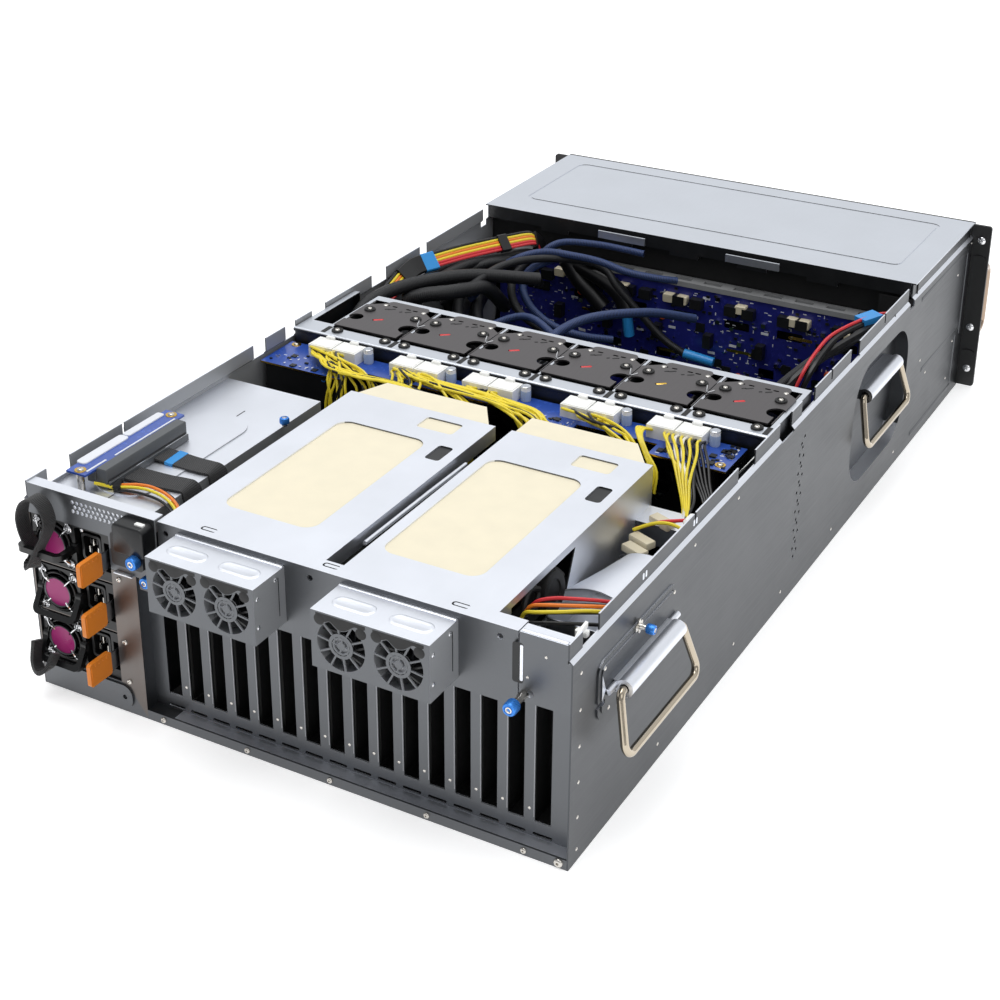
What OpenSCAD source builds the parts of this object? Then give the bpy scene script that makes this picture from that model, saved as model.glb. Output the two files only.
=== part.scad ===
// 4U rack server chassis for accelerator cards, top cover off.
// +Y is the rear (card slots and power supplies), -Y the front (drive bays), +Z is up.
// +X is the power supply side.  The origin is the centre of the chassis underside.

/* [Chassis] */
// Outer width across the side walls
chassis_w = 448; // [444:1:456]
// Height to the top of the front cover
chassis_h = 176; // [172:1:180]
// Length from the front frame to the rear edge of the side walls
chassis_l = 880; // [870:5:900]
// Thickness of the galvanised sheet
sheet = 1.2; // [1:0.1:1.5]
// Depth by which the lip of a side wall is set inwards
lip_set = 2.6; // [2:0.2:4]
// Depth below the top at which the lip of a side wall starts
lip_drop = 16; // [14:1:20]

/* [Rear slots] */
// Distance between neighbouring card slots
slot_pitch = 20.32; // [19:0.01:20.4]
// Width of one card slot
slot_w = 12; // [10:0.5:14]
// Height of the lower end of the card slots
slot_z = 20.5; // [18:0.5:26]
// Height of the slot panel above the card slots
slot_rim = 8; // [6:0.5:12]
// Distance from the side wall to the first slot
slot_margin = 19.3; // [18:0.1:21]
// Depth of the slot panel behind the rear edge
slot_recess = 12; // [9:0.5:18]
// Height of the folded ledge below the slot panel
ledge_h = 8; // [6:0.5:10]

/* [Power supplies] */
// Width of one power supply
psu_w = 73.5; // [70:0.5:74]
// Length of one power supply
psu_l = 185; // [150:5:195]
// Gap between one power supply and the next
psu_gap = 2.2; // [2:0.1:3]
// Room between the uppermost power supply and the tray
psu_headroom = 7.6; // [5:0.2:10]
// Height of the underside of the lowest power supply
psu_z0 = 25.6; // [25:0.2:27]
// Thickness of the shelves between the power supplies
shelf_t = 0.8; // [0.6:0.1:1]
// Width of the steel column beside the power supplies
column_w = 22.5; // [20:0.5:24]
// Depth of the groove in which a latch flexes
latch_room = 6; // [4:0.5:7]
// Reach of the orange latch tabs behind the power supply face
tab_reach = 33.5; // [28:0.5:38]
// Length of the carrying loops
loop_reach = 22; // [18:1:26]

/* [Power supply tray] */
// Depth of the tray over the power supplies below the top of the chassis
tray_drop = 19; // [17:0.5:20]
// Length of the tray
tray_l = 248; // [220:1:260]
// Depth of the flange on the inner edge of the tray
tray_flange = 17; // [12:1:24]

/* [Card covers] */
// Depth of the top face of the covers below the top of the chassis
cover_drop = 4; // [3:0.5:8]
// Width of the cover beside the power supplies
cover_a_w = 132.3; // [128:0.5:134]
// Room between the far cover and the side wall
side_room = 60; // [56:0.5:64]
// Width of the gap between the two covers
cover_gap = 14.3; // [12:0.5:18]
// Length of the covers from the rear plate to their front edge
cover_l = 249; // [230:1:256]
// Depth of the rear plate below the top of the covers
rear_plate_h = 57; // [52:1:60]
// Width of the strip of a cover that holds its small windows
window_rail = 31.5; // [30:0.5:36]
// Width of the cover between its large window and the power supply side
window_rim_a = 22.8; // [10:0.2:30]
// The same width on the far cover
window_rim_b = 9.1; // [6:0.1:16]
// Length of the covers behind their large windows
window_back = 43; // [36:1:60]
// Length of the covers in front of their large windows
window_front = 48; // [40:1:60]
// Corner radius of the large window
window_r = 11; // [6:1:16]
// Thickness of the insulation sheets
insulation_t = 0.8; // [0.5:0.1:1.2]
// Length of the insulation sheets in front of the covers
insulation_l = 29; // [20:1:30]

/* [Rear fan boxes] */
// Width of one rear fan box
box_w = 90; // [88:1:92]
// Height of one rear fan box
box_h = 43.5; // [42:0.5:45]
// Depth of one rear fan box
box_d = 36; // [34:1:44]
// Width of the steel beside the round openings of the rear fan boxes
box_rim = 4; // [3.5:0.1:5]

/* [Fan wall] */
// Room between the last fan module and the side wall
module_margin = 9.3; // [8:0.1:12]
// Room for cables between the first fan module and the side wall
cable_room = 33.1; // [30:0.1:36]
// Width that a fan module needs beside its fans
module_rim = 7.6; // [7.2:0.1:9]
// Depth of the frame of one small fan
fan_d = 38; // [25:1:40]
// Width of the frame around the round opening of a small fan
fan_rim = 1.6; // [1.4:0.1:3]
// Clearance around the blades of every fan
blade_gap = 0.7; // [0.6:0.1:1]
// Distance from the card covers to the fan wall
wall_gap = 89; // [84:1:96]
// Depth of the fan wall
wall_d = 96; // [92:1:98]
// Depth of the top of the fan modules below the top of the chassis
module_drop = 4; // [3:0.5:6]
// Thickness of the top plate of a fan module
module_plate = 1.5; // [1.2:0.1:2]
// Gap between a fan module and its neighbours
module_gap = 1; // [0.8:0.1:1.6]

/* [Drive bays] */
// Width of a disk drive
drive_w = 101.6; // [98:0.2:102]
// Height of a disk drive
drive_h = 26.1; // [24:0.1:28]
// Room for the rails and the divider beside a drive
bay_side = 4.4; // [4:0.1:5]
// Room for the rail and the play above a drive
bay_rise = 2.9; // [2.8:0.1:4]
// Length of a disk drive
drive_l = 147; // [120:1:150]
// Underside of the lowest drive row
drive_z0 = 4.5; // [4:0.5:8]
// Gap between the drive bay and the backplane
backplane_gap = 15; // [12:1:20]
// Length of the front cover
front_cover_l = 191; // [185:1:200]
// Reach of the ear handles in front of the frame
ear_handle_reach = 34; // [26:1:45]
// Reach of a rack ear beside the body
ear_w = 17.3; // [17:0.1:18]
// Thickness of the front frame and its ears
ear_t = 3; // [2:0.5:4]
// Distance from the side of the body to the rack screws
rack_hole_out = 8.55; // [8:0.05:9.5]
// Height between the rack screws of one ear
rack_pitch_z = 101.6; // [98:0.1:104]

/* [Carrying bails] */
// Width of a bail at its bar
bail_w = 114; // [94:1:118]
// Angle by which the legs of a bail splay
bail_splay = 13; // [0:1:16]
// Drop of a bail below its hinge
bail_drop = 43; // [36:1:50]
// Radius of the bail rod
bail_r = 2.9; // [2.5:0.1:3.4]
// Radius of the tube that carries a bail
barrel_r = 6.5; // [5.5:0.25:8]
// Play between a bail rod and its tube
bail_play = 0.6; // [0.5:0.1:1]
// Depth of the bail hinges below the top of the chassis
bail_depth = 62.5; // [58:0.5:70]
// Angle from upright at which a bail rests on its stop
bail_tilt = 14; // [0:1:20]

/* [Hidden] */
hw = chassis_w / 2;
hl = chassis_l / 2;
in_x = hw - sheet;                       // inner face of a side wall
lip_x = in_x - lip_set;                  // inner face of its lip
lip_top = chassis_h - sheet - 0.2;
slot_y = hl - slot_recess;               // outer face of the slot panel
slot_x0 = -hw + slot_margin + slot_w / 2; // centre of the first slot
lip_z = chassis_h - lip_drop;
tray_z = chassis_h - tray_drop;
cover_z = chassis_h - cover_drop;

// power supply stack, from the side wall inwards
psu_count = 3;
psu_play = 0.6;
psu_pitch = (tray_z - sheet - psu_headroom + psu_gap - psu_z0) / psu_count;
psu_h = psu_pitch - psu_gap;
psu_x1 = in_x - sheet - psu_play;
psu_x0 = psu_x1 - psu_w;
cage_x0 = psu_x0 - psu_play - sheet;
column_x0 = cage_x0 + sheet - column_w;
slot_count = floor((column_x0 - slot_w - slot_x0) / slot_pitch) + 1;
psu_y1 = hl - 2;
stack_top = psu_z0 + (psu_count - 1) * psu_pitch + psu_h;
psu_fan_r = psu_h / 2 - 2.7;
psu_fan_x = psu_x1 - 3.5 - psu_fan_r;
loop_w = 2 * psu_fan_r + 7;
inlet_x0 = psu_x0 + latch_room + 2;
inlet_w = psu_fan_x - psu_fan_r - blade_gap - 2.3 - inlet_x0;
inlet_d = 14;
latch_x = psu_x0 + 2;
panel_top = chassis_h - 2.5;
panel_join_z = 121.5;
upper_x0 = column_x0 - 21;

// card covers
cover_y1 = hl - 2;
cover_y0 = cover_y1 - cover_l;
cover_a_x1 = upper_x0 - 1;
cover_a_x0 = cover_a_x1 - cover_a_w;
cover_b_x1 = cover_a_x0 - cover_gap;
cover_b_x0 = -in_x + side_room;
corner_x1 = -hw + 38;                    // inner edge of the raised corner panel
rear_plate_x0 = corner_x1 + 2;
plate_z0 = cover_z - rear_plate_h;
deep_flange = 62;                        // side of the far cover
corner_z0 = plate_z0 + 7;
slot_top = corner_z0 + 12.5;             // upper edge of the slot panel
slot_h = slot_top - slot_rim - slot_z;

// rear fan boxes, on the rear plate
box_z0 = plate_z0 + 8.5;
box_fan_z = box_z0 + box_h / 2;
box_centres = [cover_a_x1 - 62.5, cover_a_x0 - 65.5];
box_y1 = cover_y1 + box_d;
box_fan_pitch = box_w / 2 - 1.4;
box_fan_r = box_w / 4 - box_rim;
box_bore = box_fan_r + 0.8;

// fan wall
module_count = 6;
wall_y1 = cover_y0 - wall_gap;
wall_y0 = wall_y1 - wall_d;
cable_x = hw - 20.7;                     // cable gap beside the first module
deck_z = chassis_h - module_drop - module_plate;
module_pitch = (chassis_w - module_margin - cable_room) / module_count;
fan_w = module_pitch - module_rim;
fan_r = fan_w / 2 - fan_rim;
module_floor_z = 14;
fan_z = [module_floor_z + 4 + fan_w / 2, module_floor_z + 12 + 1.5 * fan_w];
module_y0 = wall_y0 + 12;
module_y1 = wall_y1 - 22;
fan_y1 = wall_y1 - 40;
cage_half = fan_w / 2 + 2;
cheek_t = 1;

// front
frame_y = -hl + ear_t;
ear_span = chassis_w + 2 * ear_w;
rack_pitch_x = chassis_w + 2 * rack_hole_out;
cover_front_y1 = -hl + front_cover_l;
backplane_y = cover_front_y1 + 3;
bay_y1 = backplane_y - backplane_gap;
drive_pitch_x = drive_w + bay_side;
drive_pitch_z = drive_h + bay_rise;
drive_columns = floor((2 * in_x - 2) / drive_pitch_x);
drive_rows = 2;
bay_top = drive_z0 + drive_rows * drive_pitch_z;
bay_half = drive_columns * drive_pitch_x / 2;
drive_rail_t = 0.8;
board_t = 1.6;

// carrying bails
bail_z = chassis_h - bail_depth;
bail_rear_y = hl - 99;
bail_front_y = cover_front_y1 + 79;
bail_rear_x = hw + 10;
bail_front_x = hw - 1;
bail_bend = 8;
bail_turn = 5;
bail_stub = 14;
bail_leg = (bail_drop - bail_bend - bail_turn + (bail_turn - bail_bend) * sin(bail_splay)) / cos(bail_splay);
// where the stub of a bail leaves its upper bend
bail_end = bail_w / 2 - bail_bend + (bail_bend - bail_turn) * cos(bail_splay) - bail_leg * sin(bail_splay);
dish_d = 13;
dish_l = 150;
dish_z0 = 31;
dish_h = chassis_h - 33 - dish_z0;
dish_r = 38;

blade_tilt = 38;

// ---------------------------------------------------------------- shared shapes

// Rectangle with round corners, its lower left corner at the origin
module rounded(w, h, r) {
    translate([r, 0]) square([w - 2 * r, h]);
    translate([0, r]) square([w, h - 2 * r]);
    for (x = [r, w - r], y = [r, h - r]) translate([x, y]) circle(r, $fn = 40);
}

// Slot with round ends, centred, w long over all
module slot(w, h) {
    square([w - h, h], center = true);
    for (s = [-1, 1]) translate([s * (w - h) / 2, 0]) circle(h / 2, $fn = 32);
}

// Flat piece drawn in X and Z, from its face at y1 towards the front
module xz_plate(y1, t) {
    translate([0, y1, 0]) rotate([90, 0, 0]) linear_extrude(t) children();
}

// Flat piece drawn in Y and Z, from x0 towards +X
module yz_plate(x0, t) {
    translate([x0, 0, 0]) rotate([90, 0, 90]) linear_extrude(t) children();
}

// Block between two corners
module block(a, b) {
    translate(a) cube(b - a);
}

// Round rod between two points on a line along Y
module rod_y(x, z, y0, y1, r) {
    translate([x, y1, z]) rotate([90, 0, 0]) cylinder(r = r, h = y1 - y0, $fn = 40);
}

// Fan rotor about Y: a hub with straight tilted blades, cut to the tip circle
module rotor(hub, tip, depth, blades) {
    rotate([90, 0, 0]) {
        cylinder(r = hub, h = depth, center = true, $fn = 48);
        intersection() {
            difference() {
                cylinder(r = tip, h = depth, center = true, $fn = 64);
                cylinder(r = hub - 0.4, h = depth + 2, center = true, $fn = 48);
            }
            for (i = [0:blades - 1]) rotate(i * 360 / blades)
                translate([(hub + tip) / 2, 0, 0]) rotate([blade_tilt, 0, 0])
                    cube([tip - hub + 6, 1.2, depth * 1.5], center = true);
        }
    }
}

// Guard ring and spokes over a round fan opening, drawn flat
module fan_guard(r, spokes, ring, bar) {
    difference() {
        union() {
            for (i = [0:spokes - 1]) rotate(i * 360 / spokes + 9)
                translate([0, -bar / 2]) square([r + 0.6, bar]);
            circle(ring, $fn = 48);
        }
        circle(ring - bar, $fn = 48);
    }
    circle(ring * 0.45, $fn = 32);
    for (i = [0:1]) rotate(i * 90 + 9) square([2 * ring - bar, bar * 0.8], center = true);
}

// ---------------------------------------------------------------- chassis shell

// Floor with the folded ledge in front of the slot panel
module floor_pan() {
    color("#C9CED6") {
        block([-in_x, frame_y, 0], [in_x, hl, sheet]);
        block([-in_x, hl - sheet, 0], [column_x0, hl, ledge_h]);
        block([-in_x, slot_y, ledge_h - sheet], [column_x0, hl, ledge_h]);
    }
}

// Wall profile in X and Z at the -X side, with the lip set inwards
module wall_profile() {
    polygon([
        [-hw, 0], [-in_x, 0], [-in_x, lip_z], [-in_x + lip_set, lip_z + lip_set],
        [-in_x + lip_set, lip_top], [-hw + lip_set, lip_top],
        [-hw + lip_set, lip_z + lip_set], [-hw, lip_z]
    ]);
}

// Outline of the pressed dish in Y and Z, grown by g on every side
module dish_outline(g) {
    translate([bail_front_y - dish_l / 2 - g, dish_z0 - g])
        rounded(dish_l + 2 * g, dish_h + 2 * g, dish_r + g);
}

// Tube that carries a bail, on the fold that joins it to its plate or dish
module bail_bracket(x, y, foot_x) {
    tube_half = bail_end - 2;
    difference() {
        union() {
            rod_y(x, bail_z, y - tube_half, y + tube_half, barrel_r);
            block([x, y - tube_half, bail_z - 4], [foot_x, y + tube_half, bail_z + 5]);
        }
        rod_y(x, bail_z, y - tube_half - 1, y + tube_half + 1, bail_r + bail_play);
    }
}

// Stepped plate of a rear bail on the outside of the wall, with a notch at its rear lower corner
module bail_plate() {
    y0 = bail_rear_y - 59;
    plate_l = 123;
    z0 = bail_z - 19;
    plate_h = 46;
    step = 4.5;
    seat = 0.5;
    difference() {
        union() {
            yz_plate(-hw - 1.2, 1.2 + seat) translate([y0, z0]) rounded(plate_l, plate_h, 10);
            yz_plate(-hw - 2, 0.8 + seat) translate([y0 + step, z0 + step])
                rounded(plate_l - 2 * step, plate_h - 2 * step, 10 - step);
        }
        block([-hw - 3, y0 + plate_l - 9, z0 + 12], [-hw, y0 + plate_l + 1, z0 + 16]);
    }
    rod_y(-hw - 3.4, bail_z + 1.5, y0 + 2, y0 + plate_l - 10, 2.4);
}

// One side wall at -X; notches lists [centre, length, depth] of the cuts in its lip
module side_wall(notches) {
    vent_pitch = 8.6;
    vent_rows = floor((lip_z - 48) / vent_pitch);
    difference() {
        xz_plate(hl, hl - frame_y) wall_profile();
        for (n = notches)
            block([-hw - 1, n[0] - n[1] / 2, lip_top - n[2]], [-hw + 8, n[0] + n[1] / 2, lip_top + 1]);
        yz_plate(-hw - 1, 4) dish_outline(0);
        for (k = [0:vent_rows - 1], column = [0:1])
            translate([-hw - 1, wall_y0 + 32 - 6 * column + 3.4 * (k % 2), 35 + vent_pitch * (k + column / 2)])
                rotate([0, 90, 0]) cylinder(r = 1.6, h = 4, $fn = 20);
    }
    difference() {
        yz_plate(-hw, dish_d + sheet) dish_outline(sheet);
        yz_plate(-hw - 1, dish_d + 1) dish_outline(0);
    }
    bail_bracket(-bail_front_x, bail_front_y, -hw + dish_d);
    bail_plate();
    bail_bracket(-bail_rear_x, bail_rear_y, -hw - 2);
}

module right_side_wall() {
    color("#9EA2A6") side_wall([
        [cover_front_y1 + 6, 12, 20], [cover_front_y1 + 79, 3, 9], [wall_y0 - 96, 22, 13], [wall_y0 - 38, 3, 9],
        [wall_y0 + 16, 30, 12], [wall_y1 - 30, 26, 16], [wall_y1 + 50, 34, 12], [hl - 194, 3, 9], [hl - 30, 24, 12]
    ]);
}

module left_side_wall() {
    color("#9EA2A6") mirror([1, 0, 0]) side_wall([
        [cover_front_y1 + 6, 12, 20], [cover_front_y1 + 129, 14, 12], [wall_y0 - 44, 26, 12], [wall_y1 - 40, 22, 14],
        [wall_y1 + 4, 16, 14], [wall_y1 + 50, 18, 14], [hl - 110, 3, 9], [hl - 35, 26, 14]
    ]);
}

// Slotted rear panel, set back from the rear edge, with the raised corner panel
module rear_slot_panel() {
    color("#A9ADB1") {
        xz_plate(slot_y, sheet) difference() {
            translate([-in_x, sheet]) square([in_x + column_x0, slot_top - sheet]);
            for (k = [0:slot_count - 1]) {
                x = slot_x0 + k * slot_pitch;
                translate([x - slot_w / 2, slot_z]) square([slot_w, slot_h]);
                translate([x - 7.4, ledge_h + 1.2]) rounded(14.8, 2.4, 1);
            }
        }
        xz_plate(hl, sheet) difference() {
            union() {
                translate([-in_x, corner_z0]) square([in_x + corner_x1, lip_z - corner_z0]);
                translate([-lip_x, corner_z0]) square([lip_x + corner_x1, panel_top - corner_z0]);
            }
            translate([corner_x1 - 8, corner_z0 + 7]) circle(2.6, $fn = 24);
        }
        block([-lip_x, hl - 11, panel_top - sheet], [corner_x1, hl - sheet, panel_top]);
        block([-in_x, slot_y, corner_z0], [corner_x1, hl - sheet, corner_z0 + sheet]);
        block([-in_x, slot_y, corner_z0 + sheet], [-in_x + sheet, hl - sheet, lip_z]);
    }
}

// ---------------------------------------------------------------- power supply bay

// Cage of the power supplies: column, side sheets, shelves and the blank strip below
module psu_bay() {
    strip_top = psu_z0 - shelf_t;
    cage_y0 = psu_y1 - psu_l - 6;
    color("#B4B8BD") {
        xz_plate(hl, sheet) difference() {
            translate([column_x0, sheet]) square([in_x - column_x0, panel_join_z - sheet]);
            translate([cage_x0 + sheet, psu_z0])
                square([in_x - sheet - cage_x0 - sheet, chassis_h]);
        }
        block([column_x0, slot_y - 60, sheet], [column_x0 + sheet, hl - sheet, panel_join_z]);
        block([cage_x0, cage_y0, sheet], [cage_x0 + sheet, hl - sheet, stack_top + psu_play]);
        block([in_x - sheet, cage_y0, sheet], [in_x, hl - sheet, stack_top + psu_play]);
        for (k = [0:psu_count - 1])
            block([cage_x0 + sheet, cage_y0, psu_z0 + k * psu_pitch - shelf_t],
                [in_x - sheet, hl - sheet - 1, psu_z0 + k * psu_pitch]);
        block([cage_x0 + sheet, cage_y0, sheet], [in_x - sheet, cage_y0 + board_t, stack_top]);
        xz_plate(hl + 1.6, 1.6) difference() {
            translate([cage_x0 - 9, 4]) rounded(in_x - cage_x0 + 7, strip_top - 5, 8.5);
            translate([cage_x0 - 2, 4 + (strip_top - 5) / 2]) circle(2, $fn = 20);
        }
    }
}

// Tray over the power supplies with the perforated rear panel and the riser board
module psu_tray() {
    tray_y0 = hl - tray_l;
    tray_x0 = cage_x0 - 15;
    riser_x = in_x - 23;
    color("#C9CED6") {
        block([tray_x0, tray_y0, tray_z - sheet], [in_x, hl - sheet, tray_z]);
        block([tray_x0, tray_y0, tray_z - tray_flange], [tray_x0 + sheet, hl - 22, tray_z - sheet]);
        translate([in_x - 72, hl - 190, tray_z]) linear_extrude(0.9) rounded(52, 150, 22);
        xz_plate(hl, sheet) difference() {
            union() {
                translate([upper_x0, panel_join_z + 0.3]) square([cage_x0 + sheet - upper_x0, panel_top - panel_join_z - 0.3]);
                translate([upper_x0, stack_top + psu_play])
                    square([in_x - upper_x0, lip_z - stack_top - psu_play]);
                translate([upper_x0, lip_z]) square([lip_x - upper_x0, panel_top - lip_z]);
                translate([upper_x0 + 3, panel_join_z - 9]) square([column_x0 - upper_x0 - 6, 9.5]);
            }
            for (row = [0:2], k = [0:11])
                translate([in_x - 45 - 4.1 * k - 2.05 * (row % 2), tray_z + 3.8 + 3.6 * row])
                    circle(1.55, $fn = 20);
        }
        block([upper_x0, hl - 10, panel_top - sheet], [lip_x, hl - sheet, panel_top]);
    }
    color("#2F4FA8") {
        block([riser_x - 9, hl - 148, tray_z + 14], [riser_x + 9, hl - 30, tray_z + 14 + board_t]);
        for (y = [hl - 143, hl - 35])
            translate([riser_x, y, tray_z]) cylinder(r = 2.6, h = 14, $fn = 24);
        block([riser_x - 8, hl - 138, tray_z + 4], [riser_x - 0.5, hl - 42, tray_z + 14]);
    }
    color("#1C1D1F") {
        xz_plate(hl + 12, 12) translate([column_x0 - 18, stack_top - 12]) rounded(28, 26, 3);
    }
}

// One power supply at its place in the stack, k from the top
function psu_zc(k) = psu_z0 + (psu_count - k) * psu_pitch + psu_h / 2;

module psu_case(k) {
    zc = psu_zc(k);
    z0 = zc - psu_h / 2;
    color("#17181A") {
        difference() {
            block([psu_x0, psu_y1 - psu_l, z0], [psu_x1, psu_y1, z0 + psu_h]);
            rod_y(psu_fan_x, zc, psu_y1 - 24, psu_y1 + 1, psu_fan_r + blade_gap);
            xz_plate(psu_y1 + 1, inlet_d + 1) translate([inlet_x0, zc - 15]) rounded(inlet_w, psu_h / 2 + 13, 2);
            block([psu_x0 - 1, psu_y1 - 40, zc - 12], [psu_x0 + latch_room, psu_y1 + 1, zc + 12]);
        }
        rod_y(psu_fan_x, zc, psu_y1 - 24, psu_y1 - 19.5, 6);
        xz_plate(psu_y1 - 3, inlet_d - 3) translate([inlet_x0 + 3.5, zc - 9]) difference() {
            rounded(inlet_w - 7, 22, 3);
            translate([2, 2]) rounded(inlet_w - 11, 18, 2);
        }
        for (x = [-3, 3], z = [-4, 4])
            xz_plate(psu_y1 - 6, inlet_d - 6)
                translate([inlet_x0 + inlet_w / 2 + x, zc + 2 + z]) square([1.2, 4], center = true);
    }
    color("#C9C9C9") {
        translate([psu_fan_x, psu_y1 + 0.8, zc]) rotate([90, 0, 0])
            rotate_extrude($fn = 48) translate([15.4, 0]) circle(0.8, $fn = 16);
        for (a = [45:90:315])
            translate([psu_fan_x, psu_y1, zc]) rotate([0, a, 0]) translate([0, 0, -0.8])
                cube([psu_fan_r + 4.4, 1.6, 1.6]);
    }
    color("#A8216F") rod_y(psu_fan_x, zc, psu_y1 + 0.4, psu_y1 + 2.6, 11.5);
    color("#101113") psu_loop(k);
}

// Carrying loop round the fan guard: the first stands out level, the others hang down
module psu_loop(k) {
    hang = k == 1 ? 0 : 58;
    loop_t = 4.6;
    corner = 6;
    half = loop_w / 2;
    translate([psu_fan_x - 1, psu_y1 - 1, psu_zc(k)]) rotate([-hang, 0, 0]) {
        translate([0, 0, -loop_t / 2]) linear_extrude(loop_t) difference() {
            translate([-half, -2]) rounded(2 * half, loop_reach + 2, corner);
            translate([-half + loop_t, -3]) rounded(2 * half - 2 * loop_t, loop_reach + 3 - loop_t, corner - 3);
        }
        for (s = [-1, 1]) translate([s * (half - loop_t / 2), 0, 0]) rotate([0, 90, 0])
            cylinder(r = 3.6, h = loop_t, center = true, $fn = 32);
    }
}

// Sprung latch lever with its moulded tab, in the slot at the inner side of the case
module psu_latch(k) {
    zc = psu_zc(k);
    color("#8D9196") {
        block([latch_x - 0.6, psu_y1 - 36, zc - 7], [latch_x + 0.4, psu_y1 + 12, zc + 8]);
        block([latch_x - 0.6, psu_y1 - 39.4, zc - 7], [psu_x0 + latch_room - 0.3, psu_y1 - 36, zc + 8]);
    }
    color("#F08C2D") yz_plate(latch_x - 2, 3.6)
        translate([psu_y1 + 10, zc - 7.8]) rounded(tab_reach - 10, 19, 2.5);
}

module psu_fan(k) {
    color("#2A2B2E") translate([psu_fan_x, psu_y1 - 12, psu_zc(k)]) rotor(9.5, psu_fan_r - blade_gap, 14, 7);
}

// ---------------------------------------------------------------- card covers and rear fans

// Outline of one cover seen from above, with its large and small windows
module cover_top(x0, x1, rim) {
    window_w = x1 - rim - x0 - window_rail;
    window_l = cover_l - window_back - window_front;
    difference() {
        translate([x0, cover_y0]) square([x1 - x0, cover_l - 14]);
        translate([x0 + window_rail, cover_y0 + window_front]) rounded(window_w, window_l, window_r);
        translate([x0 + 22, cover_y0 + 11]) rounded(32, 19, 3);
        translate([x0 + 8.5, cover_y0 + 49]) rounded(12.5, 24, 3);
    }
}

// Two covers joined by the rear plate; the far one has a deep side with a cut-out
module gpu_covers() {
    color("#D2D6DD") {
        translate([0, 0, cover_z - sheet]) linear_extrude(sheet) {
            cover_top(cover_a_x0, cover_a_x1, window_rim_a);
            cover_top(cover_b_x0, cover_b_x1, window_rim_b);
            difference() {
                translate([rear_plate_x0, cover_y1 - 14]) square([cover_a_x1 - rear_plate_x0, 14]);
                for (x = [cover_a_x1 - 45, cover_a_x0 - 14, cover_b_x0 + 19]) translate([x, cover_y1 - 11.5]) {
                    difference() {
                        rounded(13, 5, 2.4);
                        translate([-2, 1]) rounded(13.6, 3, 1.4);
                    }
                }
            }
        }
        xz_plate(cover_y1, sheet) difference() {
            translate([rear_plate_x0, plate_z0]) square([cover_a_x1 - rear_plate_x0, rear_plate_h - sheet]);
            for (c = box_centres)
                translate([c - box_w / 2 + 3, box_z0 + 3]) square([box_w - 6, box_h - 6]);
            for (x = [cover_a_x1 - 7, cover_a_x0 + 4, rear_plate_x0 + 13])
                translate([x, cover_z - 8]) circle(2.2, $fn = 24);
        }
        flange(cover_a_x1 - sheet, 14);
        flange(cover_a_x0, 12);
        flange(cover_b_x1 - sheet, 12);
        difference() {
            flange(cover_b_x0, deep_flange);
            block([cover_b_x0 - 1, slot_y - sheet - 1, 0], [cover_b_x0 + 3, hl, slot_top + 1]);
            yz_plate(cover_b_x0 - 1, sheet + 2) polygon([
                [cover_y1 - 30, cover_z - 6], [cover_y1 - 122, cover_z - 6],
                [cover_y1 - 110, cover_z - 34], [cover_y1 - 30, cover_z - 50]
            ]);
        }
        block([-in_x + lip_set + 1, cover_y0 + 2, cover_z - 34], [cover_b_x0, cover_y0 + 28, cover_z - 34 + sheet]);
        block([-in_x + lip_set + 1, cover_y0 + 28 - sheet, cover_z - 50], [cover_b_x0, cover_y0 + 28, cover_z - 34]);
        side_duct();
    }
}

// Flange hanging from the side edge of a cover
module flange(x, depth) {
    block([x, cover_y0, cover_z - depth], [x + sheet, cover_y1 - sheet, cover_z - sheet]);
}

// Curved air duct between the far cover and the side wall, open towards the front
module side_duct() {
    x0 = -lip_x + 1;
    y0 = cover_y1 - 150;
    duct_l = 70;
    duct_r = 34;
    z0 = cover_z - deep_flange - duct_r + 0.6;
    translate([0, y0, z0]) yz_plate(x0, cover_b_x0 + sheet - x0) difference() {
        union() {
            circle(duct_r, $fn = 64);
            square([duct_l, duct_r]);
        }
        circle(duct_r - sheet, $fn = 64);
        translate([0, -duct_r]) square([duct_l + 1, 2 * duct_r - sheet]);
        translate([-duct_r - 1, -duct_r]) square([2 * duct_r, duct_r]);
    }
    block([x0, y0 + duct_l - sheet, z0 + duct_r - sheet], [cover_b_x0 + sheet, y0 + duct_l, cover_z - 40]);
}

// Cream insulation sheets below the covers, standing out in front of them
module insulation_sheets() {
    z1 = cover_z - sheet;
    color("#F4ECD6") {
        insulation_sheet(cover_a_x0 + sheet + 1, cover_a_x1 - sheet - 1, cover_a_x0 + 24, cover_a_x1 - 16, z1);
        insulation_sheet(cover_b_x0 + sheet + 1, cover_b_x1 - sheet - 1, cover_b_x0 + 26, cover_b_x1, z1);
    }
}

// One sheet: full width below the cover, narrower in front, with a fold at its far edge
module insulation_sheet(x0, x1, front_x0, front_x1, z1) {
    y1 = cover_y1 - sheet - 20;
    fx1 = min(front_x1, x1);
    translate([0, 0, z1 - insulation_t]) linear_extrude(insulation_t) polygon([
        [x0, y1], [x1, y1], [x1, cover_y0 + 6], [fx1, cover_y0 - insulation_l],
        [front_x0, cover_y0 - insulation_l], [x0, cover_y0 + 6]
    ]);
    block([front_x0, cover_y0 - insulation_l, z1 - 16],
        [front_x0 + insulation_t, cover_y0 + 6, z1 - insulation_t]);
}

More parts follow.
